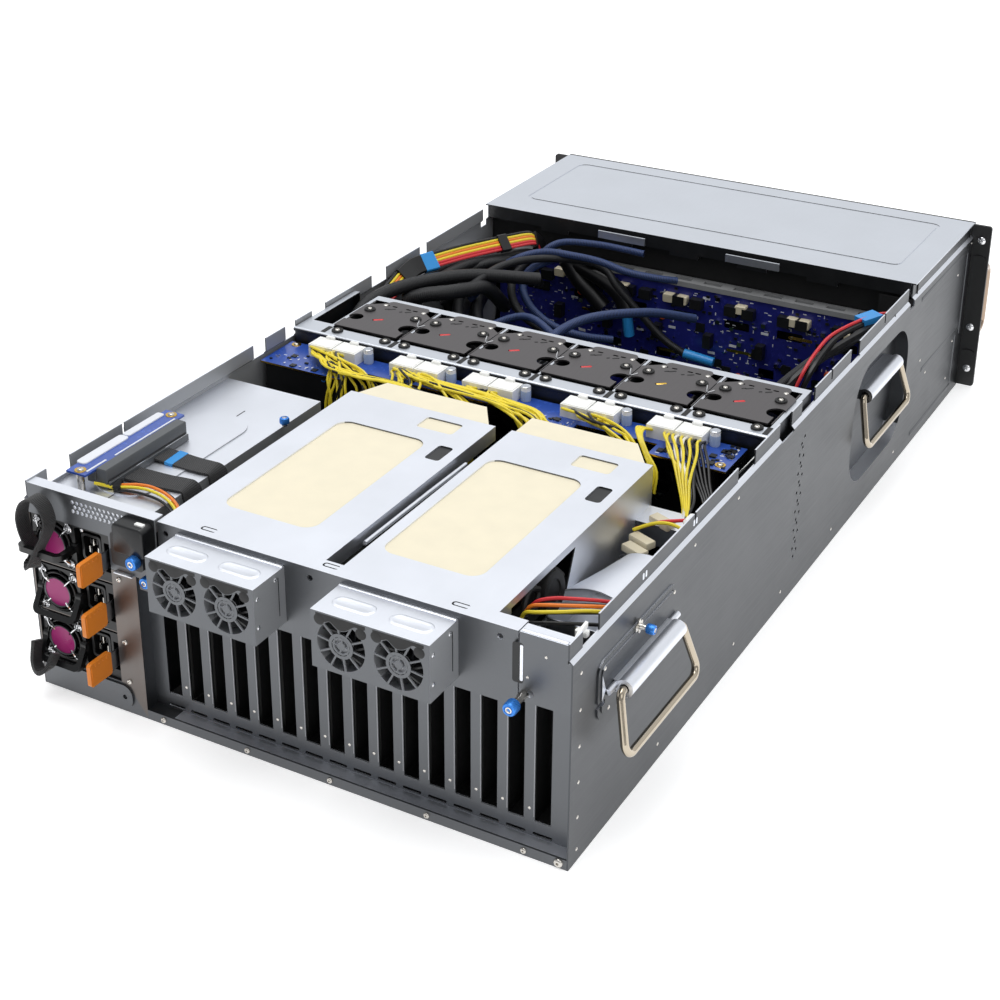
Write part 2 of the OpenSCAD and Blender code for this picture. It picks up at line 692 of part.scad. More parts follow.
// The two boxes on the rear plate, each with a pair of round guards
module rear_fan_boxes() {
    color("#C4C8CE") for (c = box_centres) {
        x0 = c - box_w / 2;
        x1 = c + box_w / 2;
        difference() {
            block([x0, cover_y1, box_z0], [x1, box_y1, box_z0 + box_h]);
            block([x0 + sheet, cover_y1 - 1, box_z0 + sheet], [x1 - sheet, box_y1 - sheet, box_z0 + box_h - sheet]);
            for (s = [-1, 1]) rod_y(c + s * box_fan_pitch / 2, box_fan_z, box_y1 - 4, box_y1 + 1, box_fan_r);
        }
        for (s = [-1, 1]) {
            translate([c + s * box_fan_pitch / 2, box_y1, box_fan_z]) rotate([90, 0, 0])
                linear_extrude(sheet) fan_guard(box_fan_r, 10, 6.6, 1.3);
            fan_shroud(c + s * box_fan_pitch / 2);
        }
    }
}

// Fan frame behind one guard
module fan_shroud(x) {
    half = box_fan_pitch / 2 - 0.3;
    y1 = box_y1 - sheet;
    difference() {
        block([x - half, y1 - 24, box_z0 + sheet], [x + half, y1, box_z0 + box_h - sheet]);
        rod_y(x, box_fan_z, y1 - 25, y1 + 1, box_bore - 0.5);
    }
    rod_y(x, box_fan_z, y1 - 24, y1 - 22, 8);
    for (a = [45, 135]) translate([x, y1 - 23, box_fan_z]) rotate([0, a, 0])
        cube([2 * box_bore, 2, 2], center = true);
}

function box_fan_x(k) = box_centres[floor((k - 1) / 2)] + (k % 2 == 1 ? 1 : -1) * box_fan_pitch / 2;

module rear_rotor(k) {
    color("#1E1F21") translate([box_fan_x(k), box_y1 - sheet - 12, box_fan_z])
        rotor(8.5, box_bore - 0.5 - blade_gap, 16, 7);
}

// ---------------------------------------------------------------- fan wall

function module_x(k) = -hw + module_margin + (module_count - k + 0.5) * module_pitch;

// Frame across the chassis with a round opening before and behind every fan
module fan_wall() {
    x0 = -in_x + 5;
    x1 = in_x - 4;
    ports = [for (k = [1:module_count], z = fan_z) [module_x(k), z]];
    color("#CDD1D8") {
        for (y = [wall_y0 + sheet, wall_y1]) xz_plate(y, sheet) difference() {
            translate([x0, sheet]) square([x1 - x0, deck_z - sheet - sheet]);
            for (p = ports) translate(p) circle(fan_r, $fn = 64);
            if (y < wall_y1) translate([cable_x - 10, deck_z - 30]) square([20, 40]);
        }
        translate([0, 0, deck_z - sheet]) linear_extrude(sheet) difference() {
            translate([x0, wall_y0]) square([x1 - x0, wall_d]);
            for (k = [1:module_count])
                translate([module_x(k) - cage_half - 0.7, wall_y0 + 9]) square([2 * cage_half + 1.4, wall_d - 24]);
            translate([cable_x - 10, wall_y0 - 1]) square([20, wall_d - 20]);
        }
        yz_plate(x0, x1 - x0) translate([wall_y1, deck_z - 1.4]) {
            circle(2.2, $fn = 32);
            translate([-2, -2.2]) square([2, 2.2]);
        }
        for (k = [0:module_count]) {
            x = module_x(1) + module_pitch * (0.5 - k);
            block([x - sheet / 2, wall_y0 + sheet, sheet], [x + sheet / 2, wall_y1 - sheet, deck_z - sheet]);
        }
        for (x = [x0, x1 - sheet])
            block([x, wall_y0 + sheet, sheet], [x + sheet, wall_y1 - sheet, deck_z - sheet]);
    }
}

// Top plate outline of a fan module, centred on X
module module_outline() {
    half = (module_pitch - module_gap) / 2;
    y0 = wall_y0 + 8;
    y1 = wall_y1 - 19;
    difference() {
        union() {
            polygon([
                [-half, y0 + 17], [-half + 9, y0 + 10], [-half + 9, y0 + 5],
                [half - 18, y0 + 5], [half - 16, y0 + 6], [half, y0 + 17],
                [half, y1], [-half, y1]
            ]);
            translate([-half + 9, y0]) rounded(2 * half - 25, 14, 5);
        }
        translate([-half + 4.5, fan_y1]) circle(8.4, $fn = 40);
        translate([half - 7.5, fan_y1 - 3]) circle(6.4, $fn = 40);
        translate([-half - 1, fan_y1 + 2]) square([5, 30]);
        translate([half - 4, fan_y1 - 3]) square([5, 8]);
        translate([2, wall_y0 + 46]) rotate(35) rounded(10, 3.4, 1.5);
        for (x = [-16, -9, 5, 13]) translate([x, wall_y0 + 17]) rounded(5, 2.2, 1);
    }
}

// Lift-out carrier with two small fans one above the other
module fan_module(k) {
    color("#77726F") translate([module_x(k), 0, 0]) {
        translate([0, 0, deck_z]) linear_extrude(module_plate) module_outline();
        for (s = [-1, 1])
            block([s > 0 ? cage_half - cheek_t : -cage_half, module_y0, module_floor_z],
                [s > 0 ? cage_half : -cage_half + cheek_t, module_y1, deck_z]);
        block([-cage_half + cheek_t, module_y0, module_floor_z], [cage_half - cheek_t, module_y1, module_floor_z + sheet]);
        for (z = fan_z) fan_frame(z);
    }
}

// Square fan frame with its motor carrier
module fan_frame(z) {
    half = fan_w / 2;
    difference() {
        block([-cage_half + cheek_t, fan_y1 - fan_d, z - half], [cage_half - cheek_t, fan_y1, z + half]);
        rod_y(0, z, fan_y1 - fan_d - 1, fan_y1 + 1, fan_r);
    }
    rod_y(0, z, fan_y1 - 3, fan_y1, 15.5);
    for (a = [20, 110]) translate([0, fan_y1 - 1.5, z]) rotate([0, a, 0]) cube([2 * fan_r + 1, 3, 3], center = true);
}

module mid_rotor(k, z) {
    color("#26272A") translate([module_x(k), fan_y1 - fan_d / 2 - 1.5, z])
        rotor(14.5, fan_r - blade_gap, fan_d - 6.4, 7);
}

// ---------------------------------------------------------------- boards

// Distribution board behind the fan wall with its white power sockets
module power_boards() {
    z0 = cover_z - 15.6;
    y0 = wall_y1 + 3.5;
    x0 = -in_x + 19;
    x1 = in_x - 3;
    block_x0 = in_x - 80.8;
    sockets = [x1 - 53.8, x1 - 134.8, 15, x0 + 128.8, x0 + 53.8];
    color("#2F4FA8") {
        block([block_x0 - 3, y0, z0], [x1, y0 + 47, z0 + board_t]);
        block([x0, y0, z0], [block_x0 - 3, y0 + 26, z0 + board_t]);
        block([x0, y0 + 26, z0], [x0 + 64, y0 + 44, z0 + board_t]);
        block([-70, y0 + 26, z0], [-20, y0 + 40, z0 + board_t]);
    }
    color("#1A1B1D") {
        block([block_x0, y0 + 6, z0 - 26], [x1 - 3, y0 + 44, z0]);
        block([block_x0 + 8, y0 + 6, sheet], [block_x0 + 16, y0 + 14, z0 - 26]);
        for (x = [x0 + 24, -60, 60]) block([x - 4, y0 + 6, sheet], [x + 4, y0 + 14, z0]);
        block([x0 - 11, y0 + 2, z0 - 12], [x0, y0 + 44, z0 - 10.8]);
        block([x0 - 11, y0 + 2, z0 - 12], [x0 - 9.8, y0 + 44, z0 + 3]);
        block([x0, y0 + 2, z0 - 12], [x0 + 11, y0 + 6, z0]);
    }
    color("#F4F4F0") {
        for (x = sockets, s = [-1, 1])
            block([x + s * 12 - 11.4, y0 + 0.5, z0 + board_t], [x + s * 12 + 11.4, y0 + 19, z0 + board_t + 11]);
        for (x = sockets) translate([x - 29, y0 + 6, z0 + board_t]) cylinder(r = 4, h = 12, $fn = 32);
    }
}

// Motherboard, switch board, coolers, memory and card sockets below the cables
module main_boards() {
    z0 = 12;
    board_half = in_x - 16.8;
    front_y0 = backplane_y + 14;
    front_y1 = wall_y0 - 3;
    rear_y0 = wall_y1 + 24;
    rear_y1 = slot_y - 10;
    cooler_x = 95;
    cooler_y = front_y0 + 82;
    memory_y1 = front_y1 - 17;
    socket_pitch = 30;
    color("#2B5A3C") {
        block([-board_half, front_y0, z0], [board_half, front_y1, z0 + board_t]);
        block([-board_half - 2, rear_y0, z0], [column_x0 - 6, rear_y1, z0 + board_t]);
    }
    color("#9EA2A6") {
        for (x = [-board_half + 56, 0, board_half - 56], y = [front_y0 + 10, front_y1 - 11])
            translate([x, y, sheet]) cylinder(r = 3, h = z0 - sheet, $fn = 20);
        for (x = [-board_half + 56, 0, column_x0 - 24], y = [rear_y0 + 16, rear_y1 - 20])
            translate([x, y, sheet]) cylinder(r = 3, h = z0 - sheet, $fn = 20);
        for (x = [-cooler_x, cooler_x]) cooler(x, cooler_y, z0 + board_t);
    }
    color("#1D2B22") for (x = [-cooler_x, cooler_x], side = [-1, 1], k = [2:5])
        translate([x + side * k * 9.4 - 1.6, memory_y1 - 100, z0 + board_t]) cube([3.2, 100, 31]);
    color("#151618") for (k = [0:floor((column_x0 - 20 - slot_x0) / socket_pitch) - 1])
        translate([slot_x0 + socket_pitch * k, wall_y1 + 60, z0 + board_t]) cube([7.5, 90, 11]);
}

// Processor cooler: a base with upright fins
module cooler(x, y, z) {
    block([x - 39, y - 54, z], [x + 39, y + 20, z + 6]);
    for (k = [0:12]) block([x - 37 + k * 6, y - 52, z + 6], [x - 35.4 + k * 6, y + 18, z + 58]);
}

// Backplane of the drives with its sockets and the slotted steel strip on top
module backplane() {
    y = backplane_y;
    x0 = -in_x + 32.8;
    board_w = in_x - 17.8 - x0;
    field = 54;
    fields = floor(board_w / field);
    color("#1B1F6E") xz_plate(y, board_t) difference() {
        translate([x0, 3]) square([board_w, 128]);
        for (k = [0:fields - 1]) translate([x0 + 14 + field * k, 96]) rounded(26, 9, 2);
        for (k = [0:fields - 2]) translate([x0 + 40 + field * k, 52]) rounded(16, 10, 2);
        for (k = [0:floor(board_w / 110) - 1]) translate([x0 + 60 + 110 * k, 18]) rounded(40, 18, 3);
    }
    color("#B7BCC3") {
        difference() {
            block([x0 - 10, y - 14, 131], [in_x - 17, y + 2, 136]);
            for (k = [0:floor(board_w / 31) - 1])
                block([x0 + 31 * k, y - 9, 130], [x0 + 18 + 31 * k, y - 3, 137]);
        }
    }
    color("#E8DFC6") for (k = [0:fields - 1]) {
        x = x0 + 8 + field * k;
        block([x, y, 112], [x + 12, y + 8, 122]);
        block([x + 18, y, 112], [x + 30, y + 8, 122]);
        if (k < fields - 1) block([x + 42, y, 74], [x + 50, y + 9, 88]);
    }
}

// ---------------------------------------------------------------- front

// Dividers, shelves and roof around the drive carriers
module drive_cage() {
    y1 = bay_y1;
    color("#B4B8BD") {
        for (k = [0:drive_columns]) {
            x = -bay_half + k * drive_pitch_x;
            block([x - 0.5, frame_y, sheet], [x + 0.5, y1, bay_top + 0.6]);
        }
        block([-in_x, frame_y, bay_top + 0.6], [in_x, y1, bay_top + 0.6 + sheet]);
        for (k = [0:drive_columns - 1], row = [0:drive_rows - 1]) {
            x = -bay_half + k * drive_pitch_x;
            z = drive_z0 + row * drive_pitch_z;
            for (xx = [x, x + drive_pitch_x - 3])
                block([xx, frame_y, z - drive_rail_t], [xx + 3, y1, z]);
        }
        for (x = [-bay_half, bay_half - sheet])
            block([x, y1 - 20, bay_top + 0.6], [x + sheet, y1, 131]);
    }
}

// Drive carrier: bezel, side rails and the drive between them
module drive_carrier(k) {
    column = (k - 1) % drive_columns;
    row = floor((k - 1) / drive_columns);
    rail_t = (drive_pitch_x - 1 - 1.2 - drive_w) / 2;
    xc = -bay_half + (column + 0.5) * drive_pitch_x;
    z0 = drive_z0 + row * drive_pitch_z;
    h = drive_pitch_z - drive_rail_t - 0.8;
    half = drive_w / 2 + rail_t;
    translate([xc, 0, z0]) {
        color("#1B1C1E") difference() {
            block([-half, -hl - 6, 0], [half, -hl + 8, h]);
            for (j = [0:5]) block([-half + 8 + j * 8, -hl - 7, 5], [-half + 13 + j * 8, -hl + 9, h - 5]);
            block([half - 46, -hl - 7, 7], [half - 12, -hl - 1, h - 7]);
        }
        color("#8D9196") for (s = [-1, 1])
            block([s > 0 ? half - rail_t : -half, -hl + 8, 1], [s > 0 ? half : -half + rail_t, -hl + 14 + drive_l, h - 3]);
        color("#A8ACB1") block([-drive_w / 2, -hl + 12, 0.6], [drive_w / 2, -hl + 12 + drive_l, 0.6 + drive_h]);
    }
}

// Cover over the front third, with a pressed outline and a folded rear edge
module front_cover() {
    y0 = frame_y;
    y1 = cover_front_y1;
    color("#D9DEE6") {
        difference() {
            block([-hw, y0, chassis_h - sheet], [hw, y1, chassis_h]);
            translate([0, 0, chassis_h - 0.4]) linear_extrude(1) difference() {
                translate([-hw + 26, y0 + 22]) rounded(chassis_w - 52, y1 - y0 - 58, 10);
                translate([-hw + 29, y0 + 25]) rounded(chassis_w - 58, y1 - y0 - 64, 8);
            }
        }
        block([-hw + lip_set + sheet + 1, y1 - sheet, chassis_h - 13], [hw - lip_set - sheet - 1, y1, chassis_h - sheet]);
        for (k = [0:4]) block([-150 + 70 * k, y1 - sheet, chassis_h - 17], [-120 + 70 * k, y1, chassis_h - 13]);
    }
}

// Black front frame: rack ears, intake grille over the drives, and the ear handles
module front_frame() {
    grille_z0 = bay_top + 6;
    grille_z1 = chassis_h - 10;
    rows = 2;
    row_h = (grille_z1 - grille_z0 - 6) / rows;
    bar_pitch = 11;
    bars = floor((chassis_w - 26) / bar_pitch);
    ear_x = ear_span / 2;
    color("#141516") {
        xz_plate(frame_y, ear_t) difference() {
            union() {
                translate([-hw, 0.5]) square([chassis_w, chassis_h - 0.5]);
                translate([-ear_x, 2]) rounded(ear_span, chassis_h - 4, 3);
            }
            translate([-bay_half, drive_z0]) square([2 * bay_half, bay_top - drive_z0]);
            for (r = [0:rows - 1], k = [0:bars - 1])
                translate([(k - (bars - 1) / 2) * bar_pitch - 3.4, grille_z0 + r * (row_h + 6)]) square([6.8, row_h]);
            for (s = [-1, 1], z = [-1, 1])
                translate([s * rack_pitch_x / 2, chassis_h / 2 + z * rack_pitch_z / 2]) slot(10, 7);
        }
        for (s = [-1, 1]) ear_handle(s * (hw + 8.5));
    }
}

// Upright handle on a rack ear, bent from round bar
module ear_handle(x) {
    z0 = 54;
    z1 = chassis_h - 54;
    y = -hl - ear_handle_reach;
    r = 4;
    bend = 10;
    for (z = [z0, z1]) rod_y(x, z, y + bend, -hl, r);
    translate([x, y, z0 + bend]) cylinder(r = r, h = z1 - z0 - 2 * bend, $fn = 40);
    translate([x, 0, 0]) {
        rod_corner(y + bend, z0 + bend, bend, 180, 90, r);
        rod_corner(y + bend, z1 - bend, bend, 90, 90, r);
    }
}

// ---------------------------------------------------------------- bails

// Bent rod that swings in the tube of a side wall at -X; its legs splay towards the bar.
// The rod swells a hair where it is bent, and each straight stretch reaches a little into its bends
module bail(x, y) {
    swell = 0.03;
    seat = 0.5;
    bent_r = bail_r + swell;
    leg_y = bail_w / 2 - bail_bend;
    leg_z = -bail_drop + bail_bend;
    color("#C8C3B8") translate([x, y, bail_z]) rotate([0, bail_tilt, 0]) {
        for (s = [0, 1]) mirror([0, s, 0]) {
            rod_y(0, 0, bail_end - bail_stub, bail_end + seat, bail_r);
            rod_corner(bail_end, -bail_turn, bail_turn, bail_splay, 90 - bail_splay, bent_r);
            translate([0, leg_y, leg_z]) rotate([bail_splay, 0, 0]) translate([0, bail_bend, -seat])
                cylinder(r = bail_r, h = bail_leg + 2 * seat, $fn = 40);
            rod_corner(leg_y, leg_z, bail_bend, 270, 90 + bail_splay, bent_r);
        }
        rod_y(0, -bail_drop, -leg_y - seat, leg_y + seat, bail_r);
    }
}

// Bend of a rod of radius rod_r about a centre in Y and Z, sweep degrees on from angle a
module rod_corner(y, z, bend_r, a, sweep, rod_r) {
    translate([0, y, z]) rotate([90, 0, 90]) rotate(a) rotate_extrude(angle = sweep, $fn = 48)
        translate([bend_r, 0]) circle(rod_r, $fn = 40);
}

// ---------------------------------------------------------------- cables

// Points of a smooth curve through p, n steps to a stretch
function curve(p, n) = concat([for (i = [0:len(p) - 2], j = [0:n - 1]) let (
        a = p[max(i - 1, 0)], b = p[i], c = p[i + 1], d = p[min(i + 2, len(p) - 1)], t = j / n
    ) 0.5 * (2 * b + (c - a) * t + (2 * a - 5 * b + 4 * c - d) * t * t
        + (3 * b - 3 * c + d - a) * t * t * t)], [p[len(p) - 1]]);

function unit(v) = v / norm(v);

// Tube of eight sides and radius r along the points p
module tube(p, r) {
    n = len(p);
    dir = [for (i = [0:n - 1]) unit(p[min(i + 1, n - 1)] - p[max(i - 1, 0)])];
    side = [for (i = [0:n - 1]) unit(cross(dir[i], abs(dir[i][2]) > 0.9 ? [0, 1, 0] : [0, 0, 1]))];
    up = [for (i = [0:n - 1]) cross(dir[i], side[i])];
    polyhedron(
        points = [for (i = [0:n - 1], k = [0:7]) p[i] + r * (cos(45 * k) * side[i] + sin(45 * k) * up[i])],
        faces = concat(
            [for (i = [0:n - 2], k = [0:7]) [8 * i + k, 8 * i + (k + 1) % 8, 8 * i + 8 + (k + 1) % 8, 8 * i + 8 + k]],
            [[for (k = [7:-1:0]) k]],
            [[for (k = [0:7]) 8 * (n - 1) + k]]
        ),
        convexity = 4
    );
}

// Routes of the main looms, each clear of the sheet metal
LOOM_LEFT = [[203, 60, 130], [203, 24, 158], [202, -10, 164], [190, -60, 162], [160, -110, 158], [110, -150, 150]];
LOOM_MID = [[60, -10, 60], [58, -40, 120], [40, -90, 142], [0, -150, 138], [-30, -200, 120]];
LOOM_FAR = [[-150, -10, 60], [-158, -40, 120], [-180, -90, 148], [-196, -140, 150], [-198, -200, 148]];
LOOM_CROSS = [[150, -60, 110], [100, -100, 132], [30, -60, 128], [-40, -40, 130], [-100, -60, 118]];

module cable_harness() {
    color("#1A1A1C") {
        tube(curve(LOOM_LEFT, 3), 6.5);
        tube(curve(LOOM_MID, 3), 6);
        tube(curve(LOOM_FAR, 3), 4.5);
        tube(curve(LOOM_CROSS, 3), 5);
    }
}

// ---------------------------------------------------------------- pieces

floor_pan();
left_side_wall();
right_side_wall();
rear_slot_panel();
psu_bay();
psu_tray();
gpu_covers();
insulation_sheets();
rear_fan_boxes();
fan_wall();
power_boards();
main_boards();
backplane();
drive_cage();
front_cover();
front_frame();
cable_harness();
for (k = [1:psu_count]) {
    psu_case(k);
    psu_latch(k);
    psu_fan(k);
}
for (k = [1:module_count]) {
    fan_module(k);
    mid_rotor(k, fan_z[1]);
    mid_rotor(k, fan_z[0]);
}
for (k = [1:2 * len(box_centres)])
    rear_rotor(k);
for (k = [1:drive_rows * drive_columns])
    drive_carrier(k);
bail(-bail_rear_x, bail_rear_y);  // bail_rear_right
bail(-bail_front_x, bail_front_y);  // bail_front_right
mirror([1, 0, 0]) bail(-bail_rear_x, bail_rear_y);  // bail_rear_left
mirror([1, 0, 0]) bail(-bail_front_x, bail_front_y);  // bail_front_left
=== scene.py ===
import bpy
import numpy as np
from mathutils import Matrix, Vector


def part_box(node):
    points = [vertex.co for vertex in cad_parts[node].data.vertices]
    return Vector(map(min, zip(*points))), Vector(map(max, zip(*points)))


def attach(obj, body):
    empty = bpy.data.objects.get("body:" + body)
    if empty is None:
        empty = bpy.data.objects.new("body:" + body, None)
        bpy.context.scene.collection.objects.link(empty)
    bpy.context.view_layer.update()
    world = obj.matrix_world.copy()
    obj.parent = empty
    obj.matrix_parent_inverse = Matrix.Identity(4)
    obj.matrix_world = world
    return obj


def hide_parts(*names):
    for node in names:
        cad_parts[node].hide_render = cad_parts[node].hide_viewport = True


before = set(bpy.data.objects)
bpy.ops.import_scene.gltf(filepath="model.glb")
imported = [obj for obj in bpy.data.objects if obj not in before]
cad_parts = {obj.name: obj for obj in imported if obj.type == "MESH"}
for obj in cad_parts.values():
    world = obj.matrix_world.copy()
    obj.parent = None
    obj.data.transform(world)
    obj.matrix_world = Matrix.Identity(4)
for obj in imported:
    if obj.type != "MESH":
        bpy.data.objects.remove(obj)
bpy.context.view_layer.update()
mm = 0.001

# ---- camera and studio
# The part stands on plain white paper in a pale room that is brightest beyond its front end.
# A broad lamp hangs above it, and a weaker one stands on its right.


def hue(code):
    """Linear colour of an sRGB hex code: c / 12.92 up to 0.04045, above it ((c + 0.055) / 1.055) ^ 2.4."""
    c = np.array([int(code[i:i + 2], 16) for i in (1, 3, 5)]) / 255
    return (*np.where(c <= 0.04045, c / 12.92, ((c + 0.055) / 1.055) ** 2.4).tolist(), 1.0)


def shade(code, factor=1.0, lift=0.0):
    """The colour of hue(code) times the factor, plus the lift."""
    return (*(np.array(hue(code)[:3]) * factor + lift).tolist(), 1.0)


def add(tree, kind, sockets=None, stops=(), **settings):
    """A new node in tree. Each entry of sockets is a socket's constant, or the output that feeds it.
    The stops are the places and colours of a ramp."""
    made = tree.nodes.new("ShaderNode" + kind)
    for key, value in settings.items():
        setattr(made, key, value)
    for number, (place, colour) in enumerate(stops):
        made.color_ramp.elements[number].position = place
        made.color_ramp.elements[number].color = colour
    for key, value in (sockets or {}).items():
        if isinstance(value, bpy.types.NodeSocket):
            tree.links.new(value, made.inputs[key])
        else:
            made.inputs[key].default_value = value
    return made


def empty(block):
    """The node tree of a new material or world, with no nodes in it."""
    block.use_nodes = True
    block.node_tree.nodes.clear()
    return block.node_tree


def lay(made):
    """Puts the object in the scene, and gives it back."""
    bpy.context.scene.collection.objects.link(made)
    return made


eye = bpy.data.cameras.new("studio_camera")
eye.lens = 66.88
eye.sensor_width = 36
eye.shift_x = 0.0369
eye.shift_y = -0.1010
eye.clip_start = 0.05
eye.clip_end = 50
camera = lay(bpy.data.objects.new("studio_camera", eye))
camera.location = (-0.6502, 1.3160, 0.8008)
camera.rotation_euler = np.radians((64.789, 0.152, -150.129)).tolist()
bpy.context.scene.camera = camera
bpy.context.scene.view_settings.view_transform = "Standard"

room = bpy.data.worlds.new("studio_room")
bpy.context.scene.world = room
tree = empty(room)
way = add(tree, "TexCoord")
lean = add(tree, "VectorMath", {0: way.outputs["Generated"], 1: (0.10, -0.86, 0.50)}, operation="DOT_PRODUCT")
glow = add(tree, "ValToRGB", {"Fac": lean.outputs["Value"]},
           stops=((0.05, (0.50, 0.505, 0.52, 1)), (0.75, (0.97, 0.985, 1.0, 1))))
ray = add(tree, "LightPath")
sky = add(tree, "Background", {"Color": glow.outputs["Color"], "Strength": 0.90})
blank = add(tree, "Background", {"Color": (1, 1, 1, 1), "Strength": 1.0})
seen = add(tree, "MixShader", {0: ray.outputs["Is Camera Ray"], 1: sky.outputs[0], 2: blank.outputs[0]})
add(tree, "OutputWorld", {"Surface": seen.outputs[0]})


def lamp(name, place, aim, size, power):
    """A square area lamp at place that faces aim, size across, in metres and watts."""
    data = bpy.data.lights.new(name, "AREA")
    data.size = size
    data.energy = power
    made = lay(bpy.data.objects.new(name, data))
    made.location = place
    heading = camera.location.copy()
    heading[:] = np.subtract(aim, place).tolist()
    made.rotation_euler = heading.to_track_quat("-Z", "Y").to_euler()


lamp("key_light", (0.3, 0.3, 2.9), (0, 0, 0.1), 2.2, 42)
lamp("fill_light", (-2.2, 1.7, 1.9), (0, 0.2, 0.1), 1.6, 9)

paper = bpy.data.materials.new("white_paper_floor")
tree = empty(paper)
matt = add(tree, "BsdfDiffuse", {"Color": hue("#F4F4F4")})
way = add(tree, "LightPath")
seen = add(tree, "Math", {0: way.outputs["Is Camera Ray"], 1: way.outputs["Is Glossy Ray"]}, operation="MAXIMUM")
seen = add(tree, "Math", {0: seen.outputs[0], 1: way.outputs["Is Transmission Ray"]}, operation="MAXIMUM")
lift = add(tree, "Math", {0: seen.outputs[0], 1: 0.5}, operation="MULTIPLY")
white = add(tree, "Emission", {"Color": (1, 1, 1, 1), "Strength": lift.outputs[0]})
both = add(tree, "AddShader", {0: matt.outputs[0], 1: white.outputs[0]})
add(tree, "OutputMaterial", {"Surface": both.outputs[0]})
ground = bpy.data.meshes.new("floor")
ground.from_pydata([(-9, -9, 0), (9, -9, 0), (9, 9, 0), (-9, 9, 0)], [], [(0, 1, 2, 3)])
ground.materials.append(paper)
floor = lay(bpy.data.objects.new("floor", ground))

# ---- folded sheet-steel shell
# The floor, walls, rear panel, power supply bay, fan wall and drive cage are folded from cold
# rolled steel, zinc plated at the mill. The rolling leaves a faint grain along the chassis. It is
# one steel, drawn in lit and shaded copies: lighter ones on faces turned to the light as painted
# highlight, and darker ones on the walls and on faces in shade as painted shade.


def sheet_steel(name, code, roughness, wave, cast="#FFFFFF", metallic=1.0):
    """Zinc-plated rolled sheet: long fine grain along Y, cloudy plating tinted by cast, and slow waves."""
    made = bpy.data.materials.new(name)
    tree = empty(made)
    place = add(tree, "TexCoord").outputs["Object"]
    grain = add(tree, "Mapping", {"Vector": place, "Scale": (900, 24, 900)})
    streak = add(tree, "TexNoise", {"Vector": grain.outputs[0], "Scale": 1.0, "Detail": 3.0})
    cloud = add(tree, "TexNoise", {"Vector": place, "Scale": 16.0, "Detail": 5.0, "Roughness": 0.6})
    mixed = add(tree, "Math", {0: cloud.outputs["Fac"], 1: streak.outputs["Fac"]}, operation="MULTIPLY")
    rough = add(tree, "MapRange", {"Value": mixed.outputs[0], "From Min": 0.12, "From Max": 0.40,
                                   "To Min": roughness - 0.03, "To Max": roughness + 0.04})
    tone = add(tree, "ValToRGB", {"Fac": cloud.outputs["Fac"]},
               stops=((0.3, shade(code, 0.97 * np.array(hue(cast)[:3]))), (0.7, shade(code, 1.01))))
    swell = add(tree, "TexNoise", {"Vector": place, "Scale": 7.0, "Detail": 1.0})
    dent = add(tree, "Bump", {"Height": swell.outputs["Fac"], "Distance": wave, "Strength": 0.3})
    fine = add(tree, "Bump", {"Height": streak.outputs["Fac"], "Distance": 0.00002, "Strength": 0.25,
                              "Normal": dent.outputs[0]})
    metal = add(tree, "BsdfPrincipled", {"Base Color": tone.outputs[0], "Metallic": metallic,
                                         "Roughness": rough.outputs[0], "Normal": fine.outputs[0]})
    add(tree, "OutputMaterial", {"Surface": metal.outputs[0]})
    return made


def dress(nodes, material, *parts):
    """CAD nodes keep their mesh and take material all over. Each of parts is another material and a
    test that picks its faces from their middles c and normals n, in millimetres."""
    for name in nodes:
        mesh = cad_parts[name].data
        mesh.materials.clear()
        mesh.materials.append(material)
        flat = np.empty(3 * len(mesh.polygons))
        mesh.polygons.foreach_get("center", flat)
        c = flat.reshape(-1, 3).T / mm
        flat = np.empty(3 * len(mesh.polygons))
        mesh.polygons.foreach_get("normal", flat)
        n = flat.reshape(-1, 3).T
        index = np.zeros(len(mesh.polygons), int)
        for number, (other, test) in enumerate(parts, 1):
            mesh.materials.append(other)
            index[test(c, n)] = number
        mesh.polygons.foreach_set("material_index", index)


# plated is the plain steel. wall_steel is a darker copy for the walls, and dark_inside a darker copy for faces in
# shade; both are painted shade. bright and cover_top are lighter copies for faces turned up or to the light, as
# painted highlight. inner_face is a lighter, half-metallic copy for faces turned in or aside, as painted light.
wall_steel = sheet_steel("galvanised_wall_steel_painted_shade", "#56585B", 0.40, 0.0010)
plated = sheet_steel("galvanised_sheet_steel", "#6A6C6F", 0.40, 0.0006)
cover_top = sheet_steel("cover_steel_with_painted_highlight", "#D9DDE4", 0.42, 0.0003)
bright = sheet_steel("steel_with_painted_highlight", "#ECEFF6", 0.44, 0.0003)
inner_face = sheet_steel("plated_steel_painted_light", "#A6A8AB", 0.5, 0.0004, metallic=0.35)
warm = sheet_steel("plated_steel_with_warm_cast", "#74716F", 0.38, 0.0010, "#FFF4EE")
dark_inside = sheet_steel("shaded_inner_steel", "#4A4C50", 0.45, 0.0010)
bail_z = 113.5


def bail_tube(c):
    """Faces with middles c of the tubes that the bails turn in: within 7 of the rear tubes' axis, and
    near a radius of 6.3 about the axis of the front tubes, in their dishes."""
    out = abs(c[0])
    on_rear = (np.hypot(out - 234, c[2] - bail_z) < 7) & (c[1] > 270)
    on_front = (abs(np.hypot(out - 223, c[2] - bail_z) - 6.3) < 0.5) & (out > 224.5)
    return on_rear | on_front


# On the walls, faces turned inwards take the lighter inner_face copy as painted light. The lips' upper faces and the
# bail tubes take the bright copy as painted highlight.
dress(("left_side_wall", "right_side_wall"), wall_steel,
      (inner_face, lambda c, n: n[0] * np.sign(c[0]) < -0.7),
      (bright, lambda c, n: (n[2] > 0.7) | bail_tube(c)))
